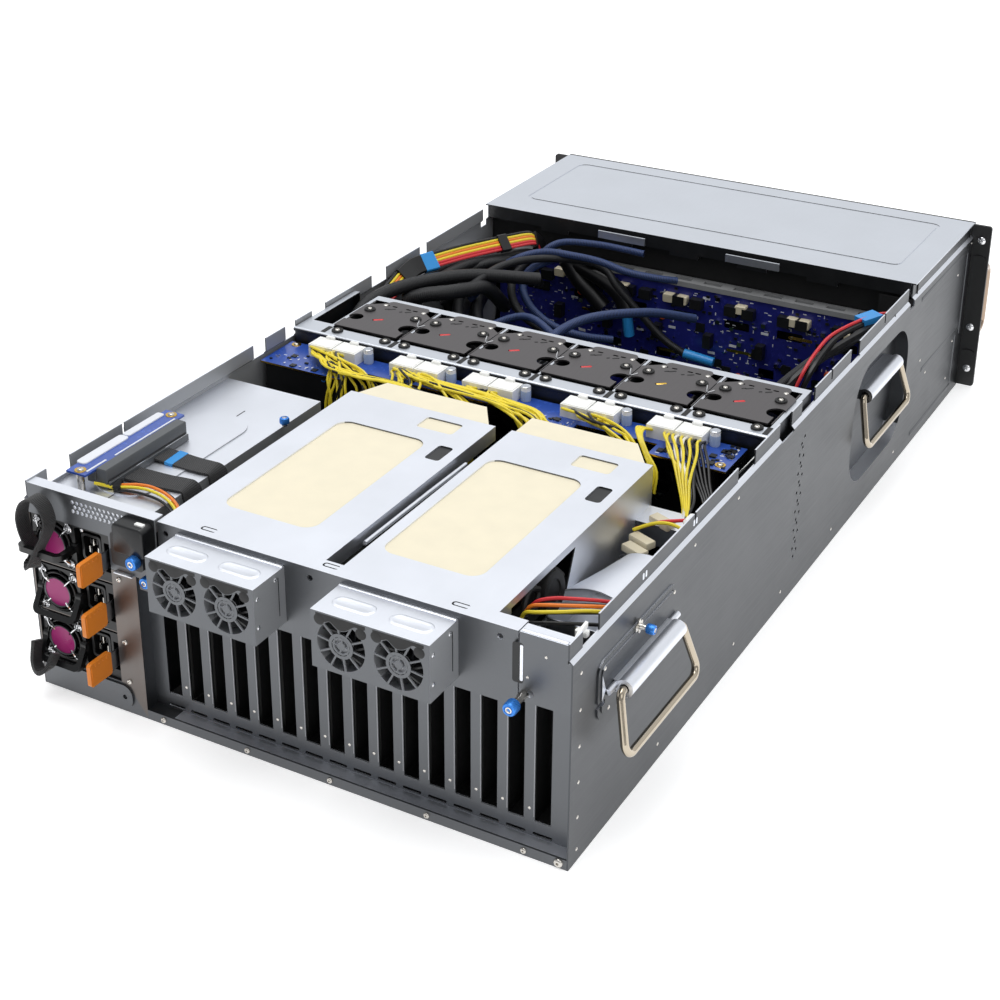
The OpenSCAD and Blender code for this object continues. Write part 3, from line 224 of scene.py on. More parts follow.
# The floor pan, the inner faces of the rear panel, the fan wall and the drive cage take the darker dark_inside copy as
# painted shade. Upward faces of the rear panel and the deck of the fan wall take the lighter bright and cover_top
# copies as painted highlight.
dress(("floor_pan",), dark_inside, (plated, lambda c, n: (c[1] > 427) & (n[1] > -0.5)))
dress(("rear_slot_panel",), plated, (bright, lambda c, n: n[2] > 0.7), (dark_inside, lambda c, n: n[1] < -0.7))
dress(("psu_bay",), warm, (plated, lambda c, n: (c[2] < 26) | (n[0] < -0.7)))
dress(("fan_wall",), dark_inside, (cover_top, lambda c, n: (c[2] > 169) & (n[2] > 0.5)))
dress(("drive_cage",), dark_inside)

# ---- screws and rivets of the shell
# Nickel-plated pan-head screws with a cross recess, and the pressed rivets that hold the folds
# together. They are turned and plated bright, so each gives a small glint.


def across(axis):
    """The unit vector n along axis, u along n x z (or n x y, where n is near z), and v = n x u."""
    n = np.asarray(axis, float) / np.linalg.norm(axis)
    u = np.cross(n, (0, 0, 1) if abs(n[2]) < 0.9 else (0, 1, 0))
    u = u / np.linalg.norm(u)
    return n, u, np.cross(n, u)


def skin(p, closed=False):
    """Closed skin through rings of points p[ring, point]: quads from each ring to the next, and a flat
    cap on both ends or, if closed, quads from the last ring to the first. The faces turn outwards when
    the sum of a . (b x c) over their corners is positive."""
    n, m = p.shape[:2]
    row = np.arange(n if closed else n - 1)[:, None] * m
    here, after = row + np.arange(m), row + np.roll(np.arange(m), -1)
    quads = np.stack([here, after, (after + m) % (n * m), (here + m) % (n * m)], -1).reshape(-1, 4)
    faces = [quads]
    if not closed:
        faces.append(np.stack([np.arange(m)[::-1], (n - 1) * m + np.arange(m)]))
    points = p.reshape(-1, 3)
    k = points - points.mean(0)
    volume = sum(np.einsum("ij,ikj->", k[f[:, 0]], np.cross(k[f[:, 1:-1]], k[f[:, 2:]])) for f in faces)
    return points, [f if volume > 0 else f[:, ::-1] for f in faces]


def turned(profile, at, axis, sides=12, closed=False):
    """Surface of revolution: each (height, radius) of the profile is a circle round the axis from at."""
    n, u, v = across(axis)
    h, r = np.array(profile, float).T[:, :, None, None]
    a = np.linspace(0, 2 * np.pi, sides, endpoint=False)[None, :, None]
    return skin(np.asarray(at, float) + h * n + r * (np.cos(a) * u + np.sin(a) * v), closed)


def copies(part, shifts):
    """The part once at every shift: each of its points plus each shift."""
    points, faces = part
    shifts = np.atleast_2d(np.asarray(shifts, float))
    step = np.arange(len(shifts))[:, None, None] * len(points)
    return (points[None] + shifts[:, None]).reshape(-1, 3), [(f[None] + step).reshape(-1, f.shape[1]) for f in faces]


def join(*parts):
    """Several parts as one."""
    start = np.cumsum([0] + [len(p[0]) for p in parts])
    return np.vstack([p[0] for p in parts]), [f + s for p, s in zip(parts, start) for f in p[1]]


def put(name, slot, *layers, body="chassis"):
    """A piece that rides on the body, made of layers (material, part) whose points are in millimetres.
    Edges that turn by more than 40 degrees stay crisp."""
    mesh = bpy.data.meshes.new(name)
    points, faces = join(*[part for _, part in layers])
    mesh.from_pydata((points * mm).tolist(), [], [f for group in faces for f in group.tolist()])
    counts = [sum(len(f) for f in part[1]) for _, part in layers]
    mesh.polygons.foreach_set("material_index", np.repeat(np.arange(len(layers)), counts))
    mesh.polygons.foreach_set("use_smooth", np.ones(len(mesh.polygons), bool))
    mesh.set_sharp_from_angle(angle=np.radians(40))
    for material, _ in layers:
        mesh.materials.append(material)
    made = lay(bpy.data.objects.new(name, mesh))
    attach(made, body)
    return made


def polished(name, code, roughness, wave=0.00002, scale=400.0, metallic=1.0):
    """Bright plating over turned, drawn or stamped steel: fine uneven shine and tiny dents of depth wave."""
    made = bpy.data.materials.new(name)
    tree = empty(made)
    place = add(tree, "TexCoord").outputs["Object"]
    cloud = add(tree, "TexNoise", {"Vector": place, "Scale": scale, "Detail": 2.0})
    rough = add(tree, "MapRange", {"Value": cloud.outputs["Fac"], "From Min": 0.3, "From Max": 0.7,
                                   "To Min": roughness * 0.7, "To Max": roughness * 1.3})
    dent = add(tree, "Bump", {"Height": cloud.outputs["Fac"], "Distance": wave, "Strength": 0.5})
    metal = add(tree, "BsdfPrincipled", {"Base Color": hue(code), "Metallic": metallic,
                                         "Roughness": rough.outputs[0], "Normal": dent.outputs[0]})
    add(tree, "OutputMaterial", {"Surface": metal.outputs[0]})
    return made


def moulded(name, code, roughness, grain_mm, depth_mm, coat=0.0):
    """Moulded plastic: an even grain of pits grain_mm wide and depth_mm deep, with clouds of shine."""
    made = bpy.data.materials.new(name)
    tree = empty(made)
    place = add(tree, "TexCoord").outputs["Object"]
    pits = add(tree, "TexNoise", {"Vector": place, "Scale": 1 / (grain_mm * mm), "Detail": 2.0})
    cloud = add(tree, "TexNoise", {"Vector": place, "Scale": 60.0, "Detail": 3.0})
    rough = add(tree, "MapRange", {"Value": cloud.outputs["Fac"], "From Min": 0.3, "From Max": 0.7,
                                   "To Min": roughness - 0.06, "To Max": roughness + 0.06})
    tone = add(tree, "ValToRGB", {"Fac": cloud.outputs["Fac"]}, stops=((0.25, shade(code, 0.95)), (0.75, shade(code))))
    bump = add(tree, "Bump", {"Height": pits.outputs["Fac"], "Distance": depth_mm * mm, "Strength": 0.6})
    body = add(tree, "BsdfPrincipled", {"Base Color": tone.outputs[0], "Roughness": rough.outputs[0],
                                        "Coat Weight": coat, "Coat Roughness": 0.12,
                                        "Normal": bump.outputs[0]})
    add(tree, "OutputMaterial", {"Surface": body.outputs[0]})
    return made


nickel = polished("nickel_plated_steel", "#D6D2CB", 0.20)
black = moulded("black_abs", "#17181A", 0.40, 0.5, 0.03)


def screw(at, axis, r=2.6, h=1.6):
    """Pan-head screw on a surface at that point: a domed head with a sunk driver recess."""
    rings = [(0, 1), (0.45, 1), (0.85, 0.78), (1, 0.5), (1, 0.3), (0.4, 0.22)]
    return turned(np.multiply(rings, (h, r)), at, axis)


def rivet(at, axis, r=1.3):
    """Low round button of radius r on a surface at that point."""
    return turned([(-0.1, r), (0.25, r * 0.85), (0.5, r * 0.35)], at, axis, 10)


wall_x, rear_y = 224.0, 440.0
slot_pitch, first_slot_x = 20.32, -198.7
origin, side, rear, up = (0, 0, 0), (-1, 0, 0), (0, 1, 0), (0, 0, 1)
ledge = [(x, rear_y, 4.2) for x in (109.5, 34, -37, -116, -191)]
column = [(139.6, rear_y, 134.6), (140.5, rear_y, 114.8), (140, rear_y, 62), (139, rear_y, 28)]
corner = [(-192, rear_y, 141), (-205, rear_y, 160)]
put("shell_screws", "bail_steel",
    (nickel, join(copies(screw(origin, rear, 2.3), ledge), copies(screw(origin, rear, 2.2), column),
                  screw((-217, rear_y, 4.6), rear, 3.4, 2.2), copies(rivet(origin, rear, 1.1), corner))))
bar_x = first_slot_x + slot_pitch * (np.arange(15) + 0.5)
dimples = np.stack([bar_x, np.full(15, 428.0), np.full(15, 30.0)], -1)
put("slot_bar_dimples", "bail_steel",
    (nickel, copies(rivet(origin, rear, 1.3), np.vstack([dimples, dimples + (0, 0, 84)]))))

wall_dots = np.array([(-289, 85), (-307, 12), (-394, 135.4), (-401.6, 62.4), (-391, 26), (-312, 63.6),
                      (-434, 155.7), (428, 148), (428, 120), (428, 92), (428, 64), (428, 36), (428, 10),
                      (250, 152), (170, 152), (160, 20), (300, 14), (60, 14), (-60, 14), (-230, 14)])
dots = np.column_stack([np.full(len(wall_dots), -wall_x), wall_dots])
put("side_wall_rivets", "bail_steel",
    (nickel, join(copies(rivet(origin, side, 1.5), dots), copies(rivet(origin, (1, 0, 0), 1.5), dots * (-1, 1, 1)))))

# ---- covers and fan boxes, with painted highlight and shade
# The card covers, front cover and rear fan boxes are folded from the same plated sheet. Their upward
# faces and the card covers' sides facing -X take the bright copy, and the front cover takes the
# cover_top copy, as painted highlight. The boxes' sides facing -X take the inner_face copy as painted
# light. The card covers' undersides near the top take dark_inside, and the front cover's underside and
# rear flange take black, as painted shade.

dress(("gpu_covers",), plated, (bright, lambda c, n: (n[2] > 0.7) | (n[0] < -0.7)),
      (dark_inside, lambda c, n: (n[2] < -0.7) & (c[2] > 160)))
dress(("rear_fan_boxes",), plated, (bright, lambda c, n: n[2] > 0.7), (inner_face, lambda c, n: n[0] < -0.7))
# The black on the front cover's underside and rear flange is painted shade.
dress(("front_cover",), cover_top, (black, lambda c, n: (n[2] < -0.7) | ((n[1] > 0.7) & (c[1] < -236))))

# ---- insulation sheets
# Cream polypropylene insulation, die cut and laid under the covers to keep the cards'
# terminals off the steel. It is matt and slightly cloudy.

cream = moulded("cream_polypropylene_sheet", "#EFE6CC", 0.5, 0.8, 0.01)
dress(("insulation_sheets",), cream)

# ---- rear fan boxes
# Two steel boxes hold a pair of 40 mm fans each. Their round guards are punched out of the
# sheet below a scalloped lip, between rubber pads, and each lid has two shallow pressed ovals.


def outline(w, h, r, n=5):
    """Rounded rectangle round the origin: n points of a quarter circle of radius r at each corner."""
    a = np.radians(np.linspace(0, 90, n))[None] + np.radians([0, 90, 180, 270])[:, None]
    c = np.array([(1, 1), (-1, 1), (-1, -1), (1, -1)])[:, None] * (w / 2 - r, h / 2 - r)
    return (c + r * np.stack([np.cos(a), np.sin(a)], -1)).reshape(-1, 2)


def slab(w, h, r, levels, at, right=(1, 0, 0), up=(0, 1, 0), n=5):
    """Rounded plate, w along right and h along up: each level (height, growth) is a ring at that height
    above at, whose outline stands out by the growth."""
    right, up = np.asarray(right, float), np.asarray(up, float)
    rings = np.stack([outline(w + 2 * g, h + 2 * g, max(r + g, 0.05), n) for _, g in levels])
    heights = np.array([z for z, _ in levels])[:, None, None]
    return skin(np.asarray(at, float) + rings[..., :1] * right + rings[..., 1:] * up + heights * np.cross(right, up))


def lid(h, top=None, inset=0.0, foot=0.0):
    """Levels of a slab: straight from the foot up to h, then drawn in by the inset up to the top."""
    return [(foot, 0), (h, 0)] + ([(top, -inset)] if top else [])


def box(lo, hi):
    """Block between two corners."""
    lo, hi = np.asarray(lo, float), np.asarray(hi, float)
    size, mid = hi - lo, (lo + hi) / 2
    return slab(size[0], size[1], 0.0, lid(size[2]), (mid[0], mid[1], lo[2]), n=1)


def bend(points, n=8):
    """Smooth curve through the points, n steps to a stretch: on each, half of 2b + (c - a)t +
    (2a - 5b + 4c - d)t^2 + (3b - 3c + d - a)t^3, for four neighbours a b c d."""
    p = np.asarray(points, float)
    q = np.vstack([2 * p[0] - p[1], p, 2 * p[-1] - p[-2]])
    a, b, c, d = q[:-3, None], q[1:-2, None], q[2:-1, None], q[3:, None]
    t = np.linspace(0, 1, n, endpoint=False)[None, :, None]
    curve = 0.5 * (2 * b + (c - a) * t + (2 * a - 5 * b + 4 * c - d) * t ** 2 + (3 * b - 3 * c + d - a) * t ** 3)
    return np.vstack([curve.reshape(-1, 3), p[-1:]])


def carried(path, section, up=(0, 0, 1), closed=False):
    """A flat section of points (x, y) carried along a path: path + x s + y v, where t is the path's
    direction, s is t x up and v is s x t, both of length 1."""
    path = np.asarray(path, float)
    if closed:
        t = np.roll(path, -1, 0) - np.roll(path, 1, 0)
    else:
        t = np.gradient(path, axis=0)
    t /= np.linalg.norm(t, axis=1, keepdims=True)
    s = np.cross(t, up)
    s /= np.linalg.norm(s, axis=1, keepdims=True)
    v = np.cross(s, t)
    section = np.asarray(section, float)
    return skin(path[:, None] + section[None, :, :1] * s[:, None] + section[None, :, 1:] * v[:, None], closed)


def round_section(r, n=8):
    """Circle of radius r: r (cos a, sin a) at n even angles."""
    a = np.linspace(0, 2 * np.pi, n, endpoint=False)
    return r * np.stack([np.cos(a), np.sin(a)], -1)


def flat(w, h):
    """Rectangle w across and h high."""
    return [(-w / 2, -h / 2), (w / 2, -h / 2), (w / 2, h / 2), (-w / 2, h / 2)]


def centre(node):
    """Middle of a node's box in millimetres."""
    return np.mean(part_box(node), 0) / mm


rubber = moulded("black_rubber", "#121213", 0.55, 0.4, 0.04)
chrome = polished("chromed_steel", "#E2E3E5", 0.12)
hub_plate = moulded("silver_fan_label", "#C6C8CB", 0.35, 2.5, 0.05)
box_y, box_top, fan_z = 474.0, 167.0, 145.25
oval_rim = [(-0.2, 1.6), (0.25, 0.9), (0.55, 0), (0.5, -1.2), (0.28, -2.0)]
for number in (1, 2):
    xs = [centre(f"rear_rotor_{2 * number - 1}")[0], centre(f"rear_rotor_{2 * number}")[0]]
    mid = sum(xs) / 2
    ovals = [slab(30, 11, 5.5, oval_rim, (x, 457, box_top)) for x in xs]
    fold = slab(90, 3.4, 1.2, lid(0.7, 1.0, 0.5, -0.1), (mid, 439.6, box_top))
    rings, labels, lips, pads, bands = [], [], [], [], []
    for x in xs:
        rings.append(turned([(-0.9, 7.0), (0.2, 7.0), (0.2, 9.4), (-0.9, 9.4)], (x, box_y, fan_z), rear, 32, True))
        labels.append(turned([(0, 7.6), (1.0, 7.4), (1.2, 5.4), (0.8, 0.3)], (x, box_y - 3.4, fan_z), rear, 24))
        scallops = (-19, 15.0), (-16, 13.4), (-11, 14.6), (-4, 9.6), (2, 8.8), (8, 13.0), (12, 11.6), (19, 12.6)
        lower = bend([(x + dx, box_y - 0.55, fan_z + 3.4 + dz) for dx, dz in scallops], 4)
        upper = lower * (1, 1, 0) + (0, 0, fan_z + 20.6)
        bands.append(skin(np.stack([lower, lower + (0, 0.65, 0), upper + (0, 0.65, 0), upper], 1)[:, ::-1]))
        lips.append(carried(lower, round_section(0.75, 6), rear))
        pads += [turned([(-1.4, 3.6), (0.05, 4.1), (0.2, 3.7), (0.2, 0.3)], (x + dx, box_y, fan_z + dz), rear, 20)
                 for dx, dz in ((-15.6, 14.2), (16.4, 15.8))]
    side_screws = [screw((mid - 45, y, z), side, 1.7, 1.0) for y, z in ((470, 158), (470, 136), (449, 162))]
    seam = slab(0.5, 30, 0.1, lid(0.05, foot=-0.1), (mid - 45.4, 446, fan_z + 2), rear, up, 2)
    # The pressed ovals and the front fold of each lid take the bright copy, as painted highlight.
    put(f"rear_fan_box_{number}_trim", "cover_steel", (bright, join(*ovals, fold)),
        (plated, join(*rings, *lips)), (chrome, join(*side_screws)), (rubber, join(*pads, *bands, seam)))
    put(f"rear_fan_box_{number}_hubs", "bail_steel", (hub_plate, join(*labels)))
fan_black = moulded("black_glass_filled_nylon", "#1C1D1F", 0.36, 0.3, 0.02)
dress(tuple(f"rear_rotor_{k}" for k in range(1, 5)), fan_black)

# ---- card slot folds and rear ledge
# Each bar between the card slots has a folded edge, drawn as a thin strip of the lighter inner_face
# copy as painted highlight. The shelf of the floor pan closes the rear below them, and the latch of
# the corner panel stands in a tall slot. Shelf and latch take the bright copy as painted highlight.
# The slot is a black plate as painted shade, and so are the black plates in the covers' two small
# windows. A rod, a flap and the curved air duct lie beside the covers, and two hooks hang from the
# rear edge of the front cover. They take the lighter copies as painted highlight.

# The folds are thin strips of the inner_face copy: painted highlight.
fold = copies(slab(0.9, 92, 0.2, [(-0.1, 0), (0.35, -0.1)], origin, side, up, 2), dimples + (-3.6, 0.05, 40))
shelf = slab(324, 10.6, 0.2, lid(0.15, foot=-0.1), (-61.5, 433.2, 8.0), n=2)
# The slot is a black plate on the panel: painted shade.
latch_slot = slab(8.0, 30, 2.0, lid(0.1, foot=-0.2), (-185, rear_y, 150), side, up, 4)
latch_arm = slab(2.4, 27, 0.8, [(0, 0), (0.25, -0.2)], (-187.6, rear_y, 150.4), side, up, 3)
# The windows are black plates laid in the covers' two small holes: painted shade.
windows = [box((x, 238, 170.7), (x + 12.6, 262, 171.1)) for x in (-21.4, -154.3)]
put("rear_ledge_face", "chassis_steel", (inner_face, fold), (bright, join(shelf, latch_arm)),
    (black, join(latch_slot, *windows)))
rod = carried([(-36, 246, 166), (-35.4, 300, 166.4), (-35, 384, 166.6)], round_section(1.7, 12))
flap = slab(7, 128, 1, lid(0.6), (-40.2, 316, 163), n=2)
duct = carried(bend([(-168, 300, 134), (-175, 302, 142), (-186, 304, 147), (-198, 306, 149), (-210, 308, 148),
                     (-221, 309, 146)], 5), flat(62, 1.2))
put("cover_gap_rod", "chassis_steel", (bright, join(rod, duct)), (inner_face, flap))
hooks = [box((x, -240.2, 167.0), (x + w, -238.6, 174.4)) for x, w in ((42, 50), (-96, 54))]
put("front_cover_hooks", "cover_steel", (cover_top, join(*hooks)))

# ---- power supplies
# Three pluggable supplies in black sheet steel with a moulded face. A chromed wire guard with a
# round magenta cap covers the fan, and beside it is the deep recess of the mains inlet.

case_black = moulded("black_powder_coat", "#121314", 0.36, 0.35, 0.02)
magenta = moulded("magenta_polycarbonate", "#B5307E", 0.33, 0.6, 0.02)
handle = moulded("black_glass_filled_handle", "#0E0F10", 0.30, 0.3, 0.02)
orange = moulded("orange_nylon", "#F08A28", 0.40, 0.6, 0.03)
spring_steel = sheet_steel("spring_steel_strip", "#8A8D92", 0.34, 0.0002)
face_y, cap_r = 438.0, 11.7
for k in (1, 2, 3):
    fx, _, fz = centre(f"psu_{k}_fan")
    dress((f"psu_{k}_case",), case_black,
          (handle, lambda c, n: (np.hypot(c[0] - fx, c[2] - fz) < 22) & (abs(c[0] - fx + 1) < 16.6)
           & (c[1] > face_y + 0.05) & (c[1] < face_y + 1.75)),
          (magenta, lambda c, n: (np.hypot(c[0] - fx, c[2] - fz) < cap_r) & (c[1] > face_y + 0.35)
           & (c[1] < face_y + 4.5)),
          (handle, lambda c, n: (c[1] > face_y + 1.8) & (np.hypot(c[0] - fx, c[2] - fz) > cap_r + 0.3)))
    dress((f"psu_{k}_latch",), orange, (spring_steel, lambda c, n: c[1] < face_y + 9.9))
    rim = turned([(0.6, 12.2), (3.2, 12.5), (3.6, 12.0), (3.0, 11.4)], (fx, face_y, fz), rear, 36, True)
    wires, eyes, heads = [], [], []
    for sx, sz in ((-1, 1), (1, 1), (-1, -1), (1, -1)):
        a = np.array((sx, 0, sz)) * 0.7071
        start, far = np.array((fx, face_y + 2.6, fz)) + a * 10, np.array((fx, face_y + 1.4, fz)) + a * 20.6
        wires.append(carried(bend([start, (start + far) / 2 + (0, 1.5, 0), far], 4), round_section(0.75, 6), rear))
        eyes.append(turned([(0.2, 1.9), (0.9, 2.3), (1.5, 3.0), (0.9, 3.6), (0.1, 3.2)],
                           far - (0, 1.2, 0), rear, 14, True))
        heads.append(screw(far - (0, 1.4, 0), rear, 1.9, 1.5))
    ix = (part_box(f"psu_{k}_case")[0][0] / mm + 8 + fx - 19.7) / 2
    prongs = [slab(1.6, 6.0, 0.5, lid(7.5, 8.2, 0.4), (ix + dx, face_y - 13.8, fz + dz), side, up, 3)
              for dx, dz in ((-4, -1), (4, -1), (0, 5.5))]
    screws = [screw((x, face_y, fz + dz), rear, 1.6, 1.0)
              for x, dz in ((fx + 15.5, 17.3), (fx - 13.4, 17.6), (ix - 3, -16.6), (ix + 5, 17.2))]
    slots = [slab(9.0, 1.0, 0.4, [(-0.1, 0), (0.35, -0.1)], (ix + 2, face_y, fz + dz), side, up, 3)
             for dz in (-17.8, -15.6)]
    put(f"psu_{k}_guard", "bail_steel", (chrome, join(*wires, *eyes, *heads, *screws)),
        (nickel, join(*prongs)), (handle, join(*slots)), (plated, rim), body=f"psu_{k}")
    tab_lo, tab_hi = np.array(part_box(f"psu_{k}_latch")) / mm
    tx, ty, tz = tab_lo[0], tab_hi[1], tab_hi[2]
    grip = copies(rivet(origin, side, 0.95), [(tx + 0.15, ty - 6 - 4.2 * j, tz - 2.6) for j in range(4)])
    rib = slab(0.8, 14, 0.3, [(-0.1, 0), (0.4, -0.1)], (tx, ty - 1.8, tz - 9.5), (0, -1, 0), up, 3)
    put(f"psu_{k}_tab_grip", "latch_plastic", (orange, join(grip, rib)), body=f"psu_{k}_latch")
    dress((f"psu_{k}_fan",), fan_black)

# ---- strap of the power supply
# A ribbed black hook-and-loop strap is threaded through the upper carrying loop for the mains
# lead, with its end wound below. Its weave gives it fine ribs across.


def webbing(name, code, pitch_mm):
    """Woven tape: ribs pitch_mm apart across the run of the tape, with a soft sheen of loose fibres."""
    made = bpy.data.materials.new(name)
    tree = empty(made)
    along = add(tree, "UVMap").outputs["UV"]
    stretched = add(tree, "Mapping", {"Vector": along, "Scale": (1 / pitch_mm, 0.35, 1)})
    ribs = add(tree, "TexWave", {"Vector": stretched.outputs[0], "Scale": 0.32, "Distortion": 0.4})
    tone = add(tree, "ValToRGB", {"Fac": ribs.outputs["Fac"]}, stops=((0, shade(code, 0.5)), (1, shade(code, 1.6))))
    bump = add(tree, "Bump", {"Height": ribs.outputs["Fac"], "Distance": 0.0004, "Strength": 0.7})
    body = add(tree, "BsdfPrincipled", {"Base Color": tone.outputs[0], "Roughness": 0.75, "Sheen Weight": 0.25,
                                        "Normal": bump.outputs[0]})
    add(tree, "OutputMaterial", {"Surface": body.outputs[0]})
    return made


def run_uv(made, rings, points):
    """UV of a carried piece in millimetres: U is the length along the path, V the way round the section."""
    mesh = made.data
    corner = np.empty(len(mesh.loops), int)
    mesh.loops.foreach_get("vertex_index", corner)
    flat = np.empty(3 * len(mesh.vertices))
    mesh.vertices.foreach_get("co", flat)
    middle = flat.reshape(-1, points, 3).mean(1) / mm
    steps = np.linalg.norm(np.diff(middle, axis=0), axis=1)
    steps[np.arange(1, len(middle)) % rings == 0] = 0
    length = np.concatenate([[0], np.cumsum(steps)])
    uv = np.stack([length[corner // points], (corner % points) / points], -1)
    mesh.uv_layers.new(name="run").data.foreach_set("uv", uv.ravel())


strap_black = webbing("black_hook_and_loop_tape", "#1A1A1B", 1.1)
strap_path = bend([(209, 448, 123), (214.5, 451, 136), (216.5, 452, 152), (212, 452, 165), (203, 452, 171),
                   (194.5, 452, 167), (190, 452.5, 156), (191.5, 454, 146), (197, 457, 134), (202, 459, 123),
                   (205, 458, 118), (209, 454.5, 115), (210.5, 449, 119)], 5)
strap = put("mains_lead_strap", "black_paint",
            (strap_black, carried(strap_path, np.flip(flat(13, 1.4), 1), (0, 1, 0.05), True)), body="psu_1")
run_uv(strap, len(strap_path), 4)
wound_path = bend([(219, 449, 44), (217, 454, 30), (210, 457.5, 24), (203, 455, 29), (201, 449.5, 38)], 5)
wound = put("wound_strap_end", "black_paint",
            (strap_black, carried(wound_path, flat(3.2, 9), (0, 1, 0.05))), body="psu_3")
run_uv(wound, len(wound_path), 4)

# ---- blue thumbscrews
# Knurled blue-anodised aluminium knobs pressed on nickel-plated captive screws. Those on the
# rear hold the tray and the corner panel, and the small ones hold the tray and a board inside.


def thumbscrew(at, axis, r, length, shank):
    """A blue knob and its bright part, the shank and the driver end. All are profiles turned round the
    axis, and along the knob's rim every other of 36 rays is 7% shorter, for the knurls."""
    n, u, v = across(axis)
    a = np.linspace(0, 2 * np.pi, 36, endpoint=False)
    teeth = 1 - 0.07 * (np.arange(36) % 2)
    top = shank + length
    profile = [(shank, r * 0.72), (shank + 0.5, r * 0.9), (shank + 1.2, r), (top - 1.6, r), (top - 0.4, r * 0.88),
               (top, r * 0.62), (top - 0.6, r * 0.55)]
    h, radius = np.array(profile).T[:, :, None]
    radius = radius * np.where((h > shank + 1) & (h < top - 1), teeth, 1)
    knob = skin(np.asarray(at, float) + h[..., None] * n
                + radius[..., None] * (np.cos(a)[:, None] * u + np.sin(a)[:, None] * v))
    stem = [(0, r * 0.62), (shank * 0.4, r * 0.62), (shank * 0.5, r * 0.5), (shank + 0.6, r * 0.5)]
    end = [(top - 1.2, r * 0.5), (top - 0.1, r * 0.46), (top + 0.1, r * 0.3), (top - 0.8, r * 0.2)]
    return knob, join(turned(stem, at, axis, 18), turned(end, at, axis, 12))


blue = polished("blue_anodised_aluminium", "#3F8BE6", 0.32, 0.00003, 900.0, 0.55)
knobs, shanks = zip(thumbscrew((112.5, rear_y, 144.2), rear, 5.2, 7.0, 11.5),
                    thumbscrew((109.5, rear_y, 125.0), rear, 4.6, 6.5, 3.0),
                    thumbscrew((-190.0, rear_y, 128.0), rear, 5.0, 8.5, 13.0),
                    thumbscrew((127.0, 248.0, 160.0), up, 4.0, 5.5, 1.5),
                    thumbscrew((158.0, 141.5, 151.0), (0, 1, 0.4), 3.4, 5.0, 1.0))
put("blue_thumbscrews", "latch_plastic", (blue, join(*knobs)), (nickel, join(*shanks)))

# ---- column and cap beside the supplies
# A moulded black cap covers the open corner of the tray, with a white clip on top, and a bent lip
# runs across the column, in the bright copy of the steel as painted highlight.

white = moulded("white_nylon", "#FAFAF7", 0.42, 0.7, 0.02)
put("tray_corner_cap", "black_paint",
    (black, slab(28, 24, 4, [(0, 0), (11.2, 0), (12.2, -0.4), (12.9, -1.4)], (118.2, rear_y, 158.4), side, up)),
    (white, slab(7.5, 3.6, 0.6, lid(1.1, 1.3, 0.3, -0.2), (111, 446.5, 170.4), n=3)))
put("column_lip", "chassis_steel",
    (bright, slab(16.5, 1.1, 0.3, lid(3.0, 3.3, 0.2), (133.8, rear_y, 122.0), side, up, 3)))

# ---- riser board on the tray
# A narrow blue riser board on nickel stand-offs carries a long dark card socket with a bright
# rail. Two flat black cables and a few leads run from it over the inner edge of the tray.


def solder_mask(name, code, tracks_mm, gloss=0.32):
    """Circuit board: glossy lacquer over copper, whose tracks and islands tracks_mm apart show through
    a little lighter and stand up a few hundredths of a millimetre."""
    made = bpy.data.materials.new(name)
    tree = empty(made)
    place = add(tree, "TexCoord").outputs["Object"]
    turned_ = add(tree, "Mapping", {"Vector": place, "Rotation": (0, 0, 0.785)})
    cells = add(tree, "TexVoronoi", {"Vector": place, "Scale": 1 / (6 * tracks_mm * mm)}, distance="MANHATTAN")
    lines = add(tree, "TexWave", {"Vector": turned_.outputs[0], "Scale": 0.32 / (tracks_mm * mm), "Distortion": 2.0,
                                  "Detail": 1.0, "Detail Scale": 0.4})
    strong = add(tree, "Math", {0: lines.outputs["Fac"], 1: 0.72}, operation="GREATER_THAN")
    patch = add(tree, "Math", {0: cells.outputs["Distance"], 1: 0.42}, operation="LESS_THAN")
    copper = add(tree, "Math", {0: strong.outputs[0], 1: patch.outputs[0]}, operation="MULTIPLY")
    tone = add(tree, "ValToRGB", {"Fac": copper.outputs[0]}, stops=((0, shade(code)), (1, shade(code, 1.7, 0.01))))
    bump = add(tree, "Bump", {"Height": copper.outputs[0], "Distance": 0.00006, "Strength": 0.5})
    body = add(tree, "BsdfPrincipled", {"Base Color": tone.outputs[0], "Roughness": gloss, "Coat Weight": 0.35,
                                        "Coat Roughness": 0.15, "Normal": bump.outputs[0]})
    add(tree, "OutputMaterial", {"Surface": body.outputs[0]})
    return made


def insulated(name, code):
    """PVC wire insulation: smooth, waxy and a little translucent."""
    made = moulded(name, code, 0.36, 1.4, 0.01)
    made.node_tree.nodes["Principled BSDF"].inputs["Subsurface Weight"].default_value = 0.06
    made.node_tree.nodes["Principled BSDF"].inputs["Subsurface Radius"].default_value = (0.002, 0.002, 0.001)
    return made


def wires(routes, r, n=6):
    """Round leads of radius r through each route's points."""
    return join(*[carried(bend(route, n), round_section(r, 7), (0.03, 0.02, 1)) for route in routes])


blue_mask = solder_mask("blue_solder_mask", "#2B4FA6", 0.9)
gold = polished("gold_plated_copper", "#D9B45A", 0.22)
gunmetal = moulded("dark_grey_liquid_crystal_polymer", "#55585B", 0.42, 0.4, 0.02)
pale_print = moulded("white_board_print", "#E3E6EC", 0.5, 0.7, 0.01)
yellow = insulated("yellow_pvc_insulation", "#F0DA35")
orange_wire = insulated("orange_pvc_insulation", "#F0832B")
red_wire = insulated("red_pvc_insulation", "#D8343B")
black_wire = insulated("black_pvc_insulation", "#161617")
white_wire = insulated("white_pvc_insulation", "#ECEBE6")
blue_tape = moulded("blue_polyester_tape", "#2E93DC", 0.34, 1.0, 0.02)
riser_x, riser_end, riser_z = 199.8, 410.0, 172.6
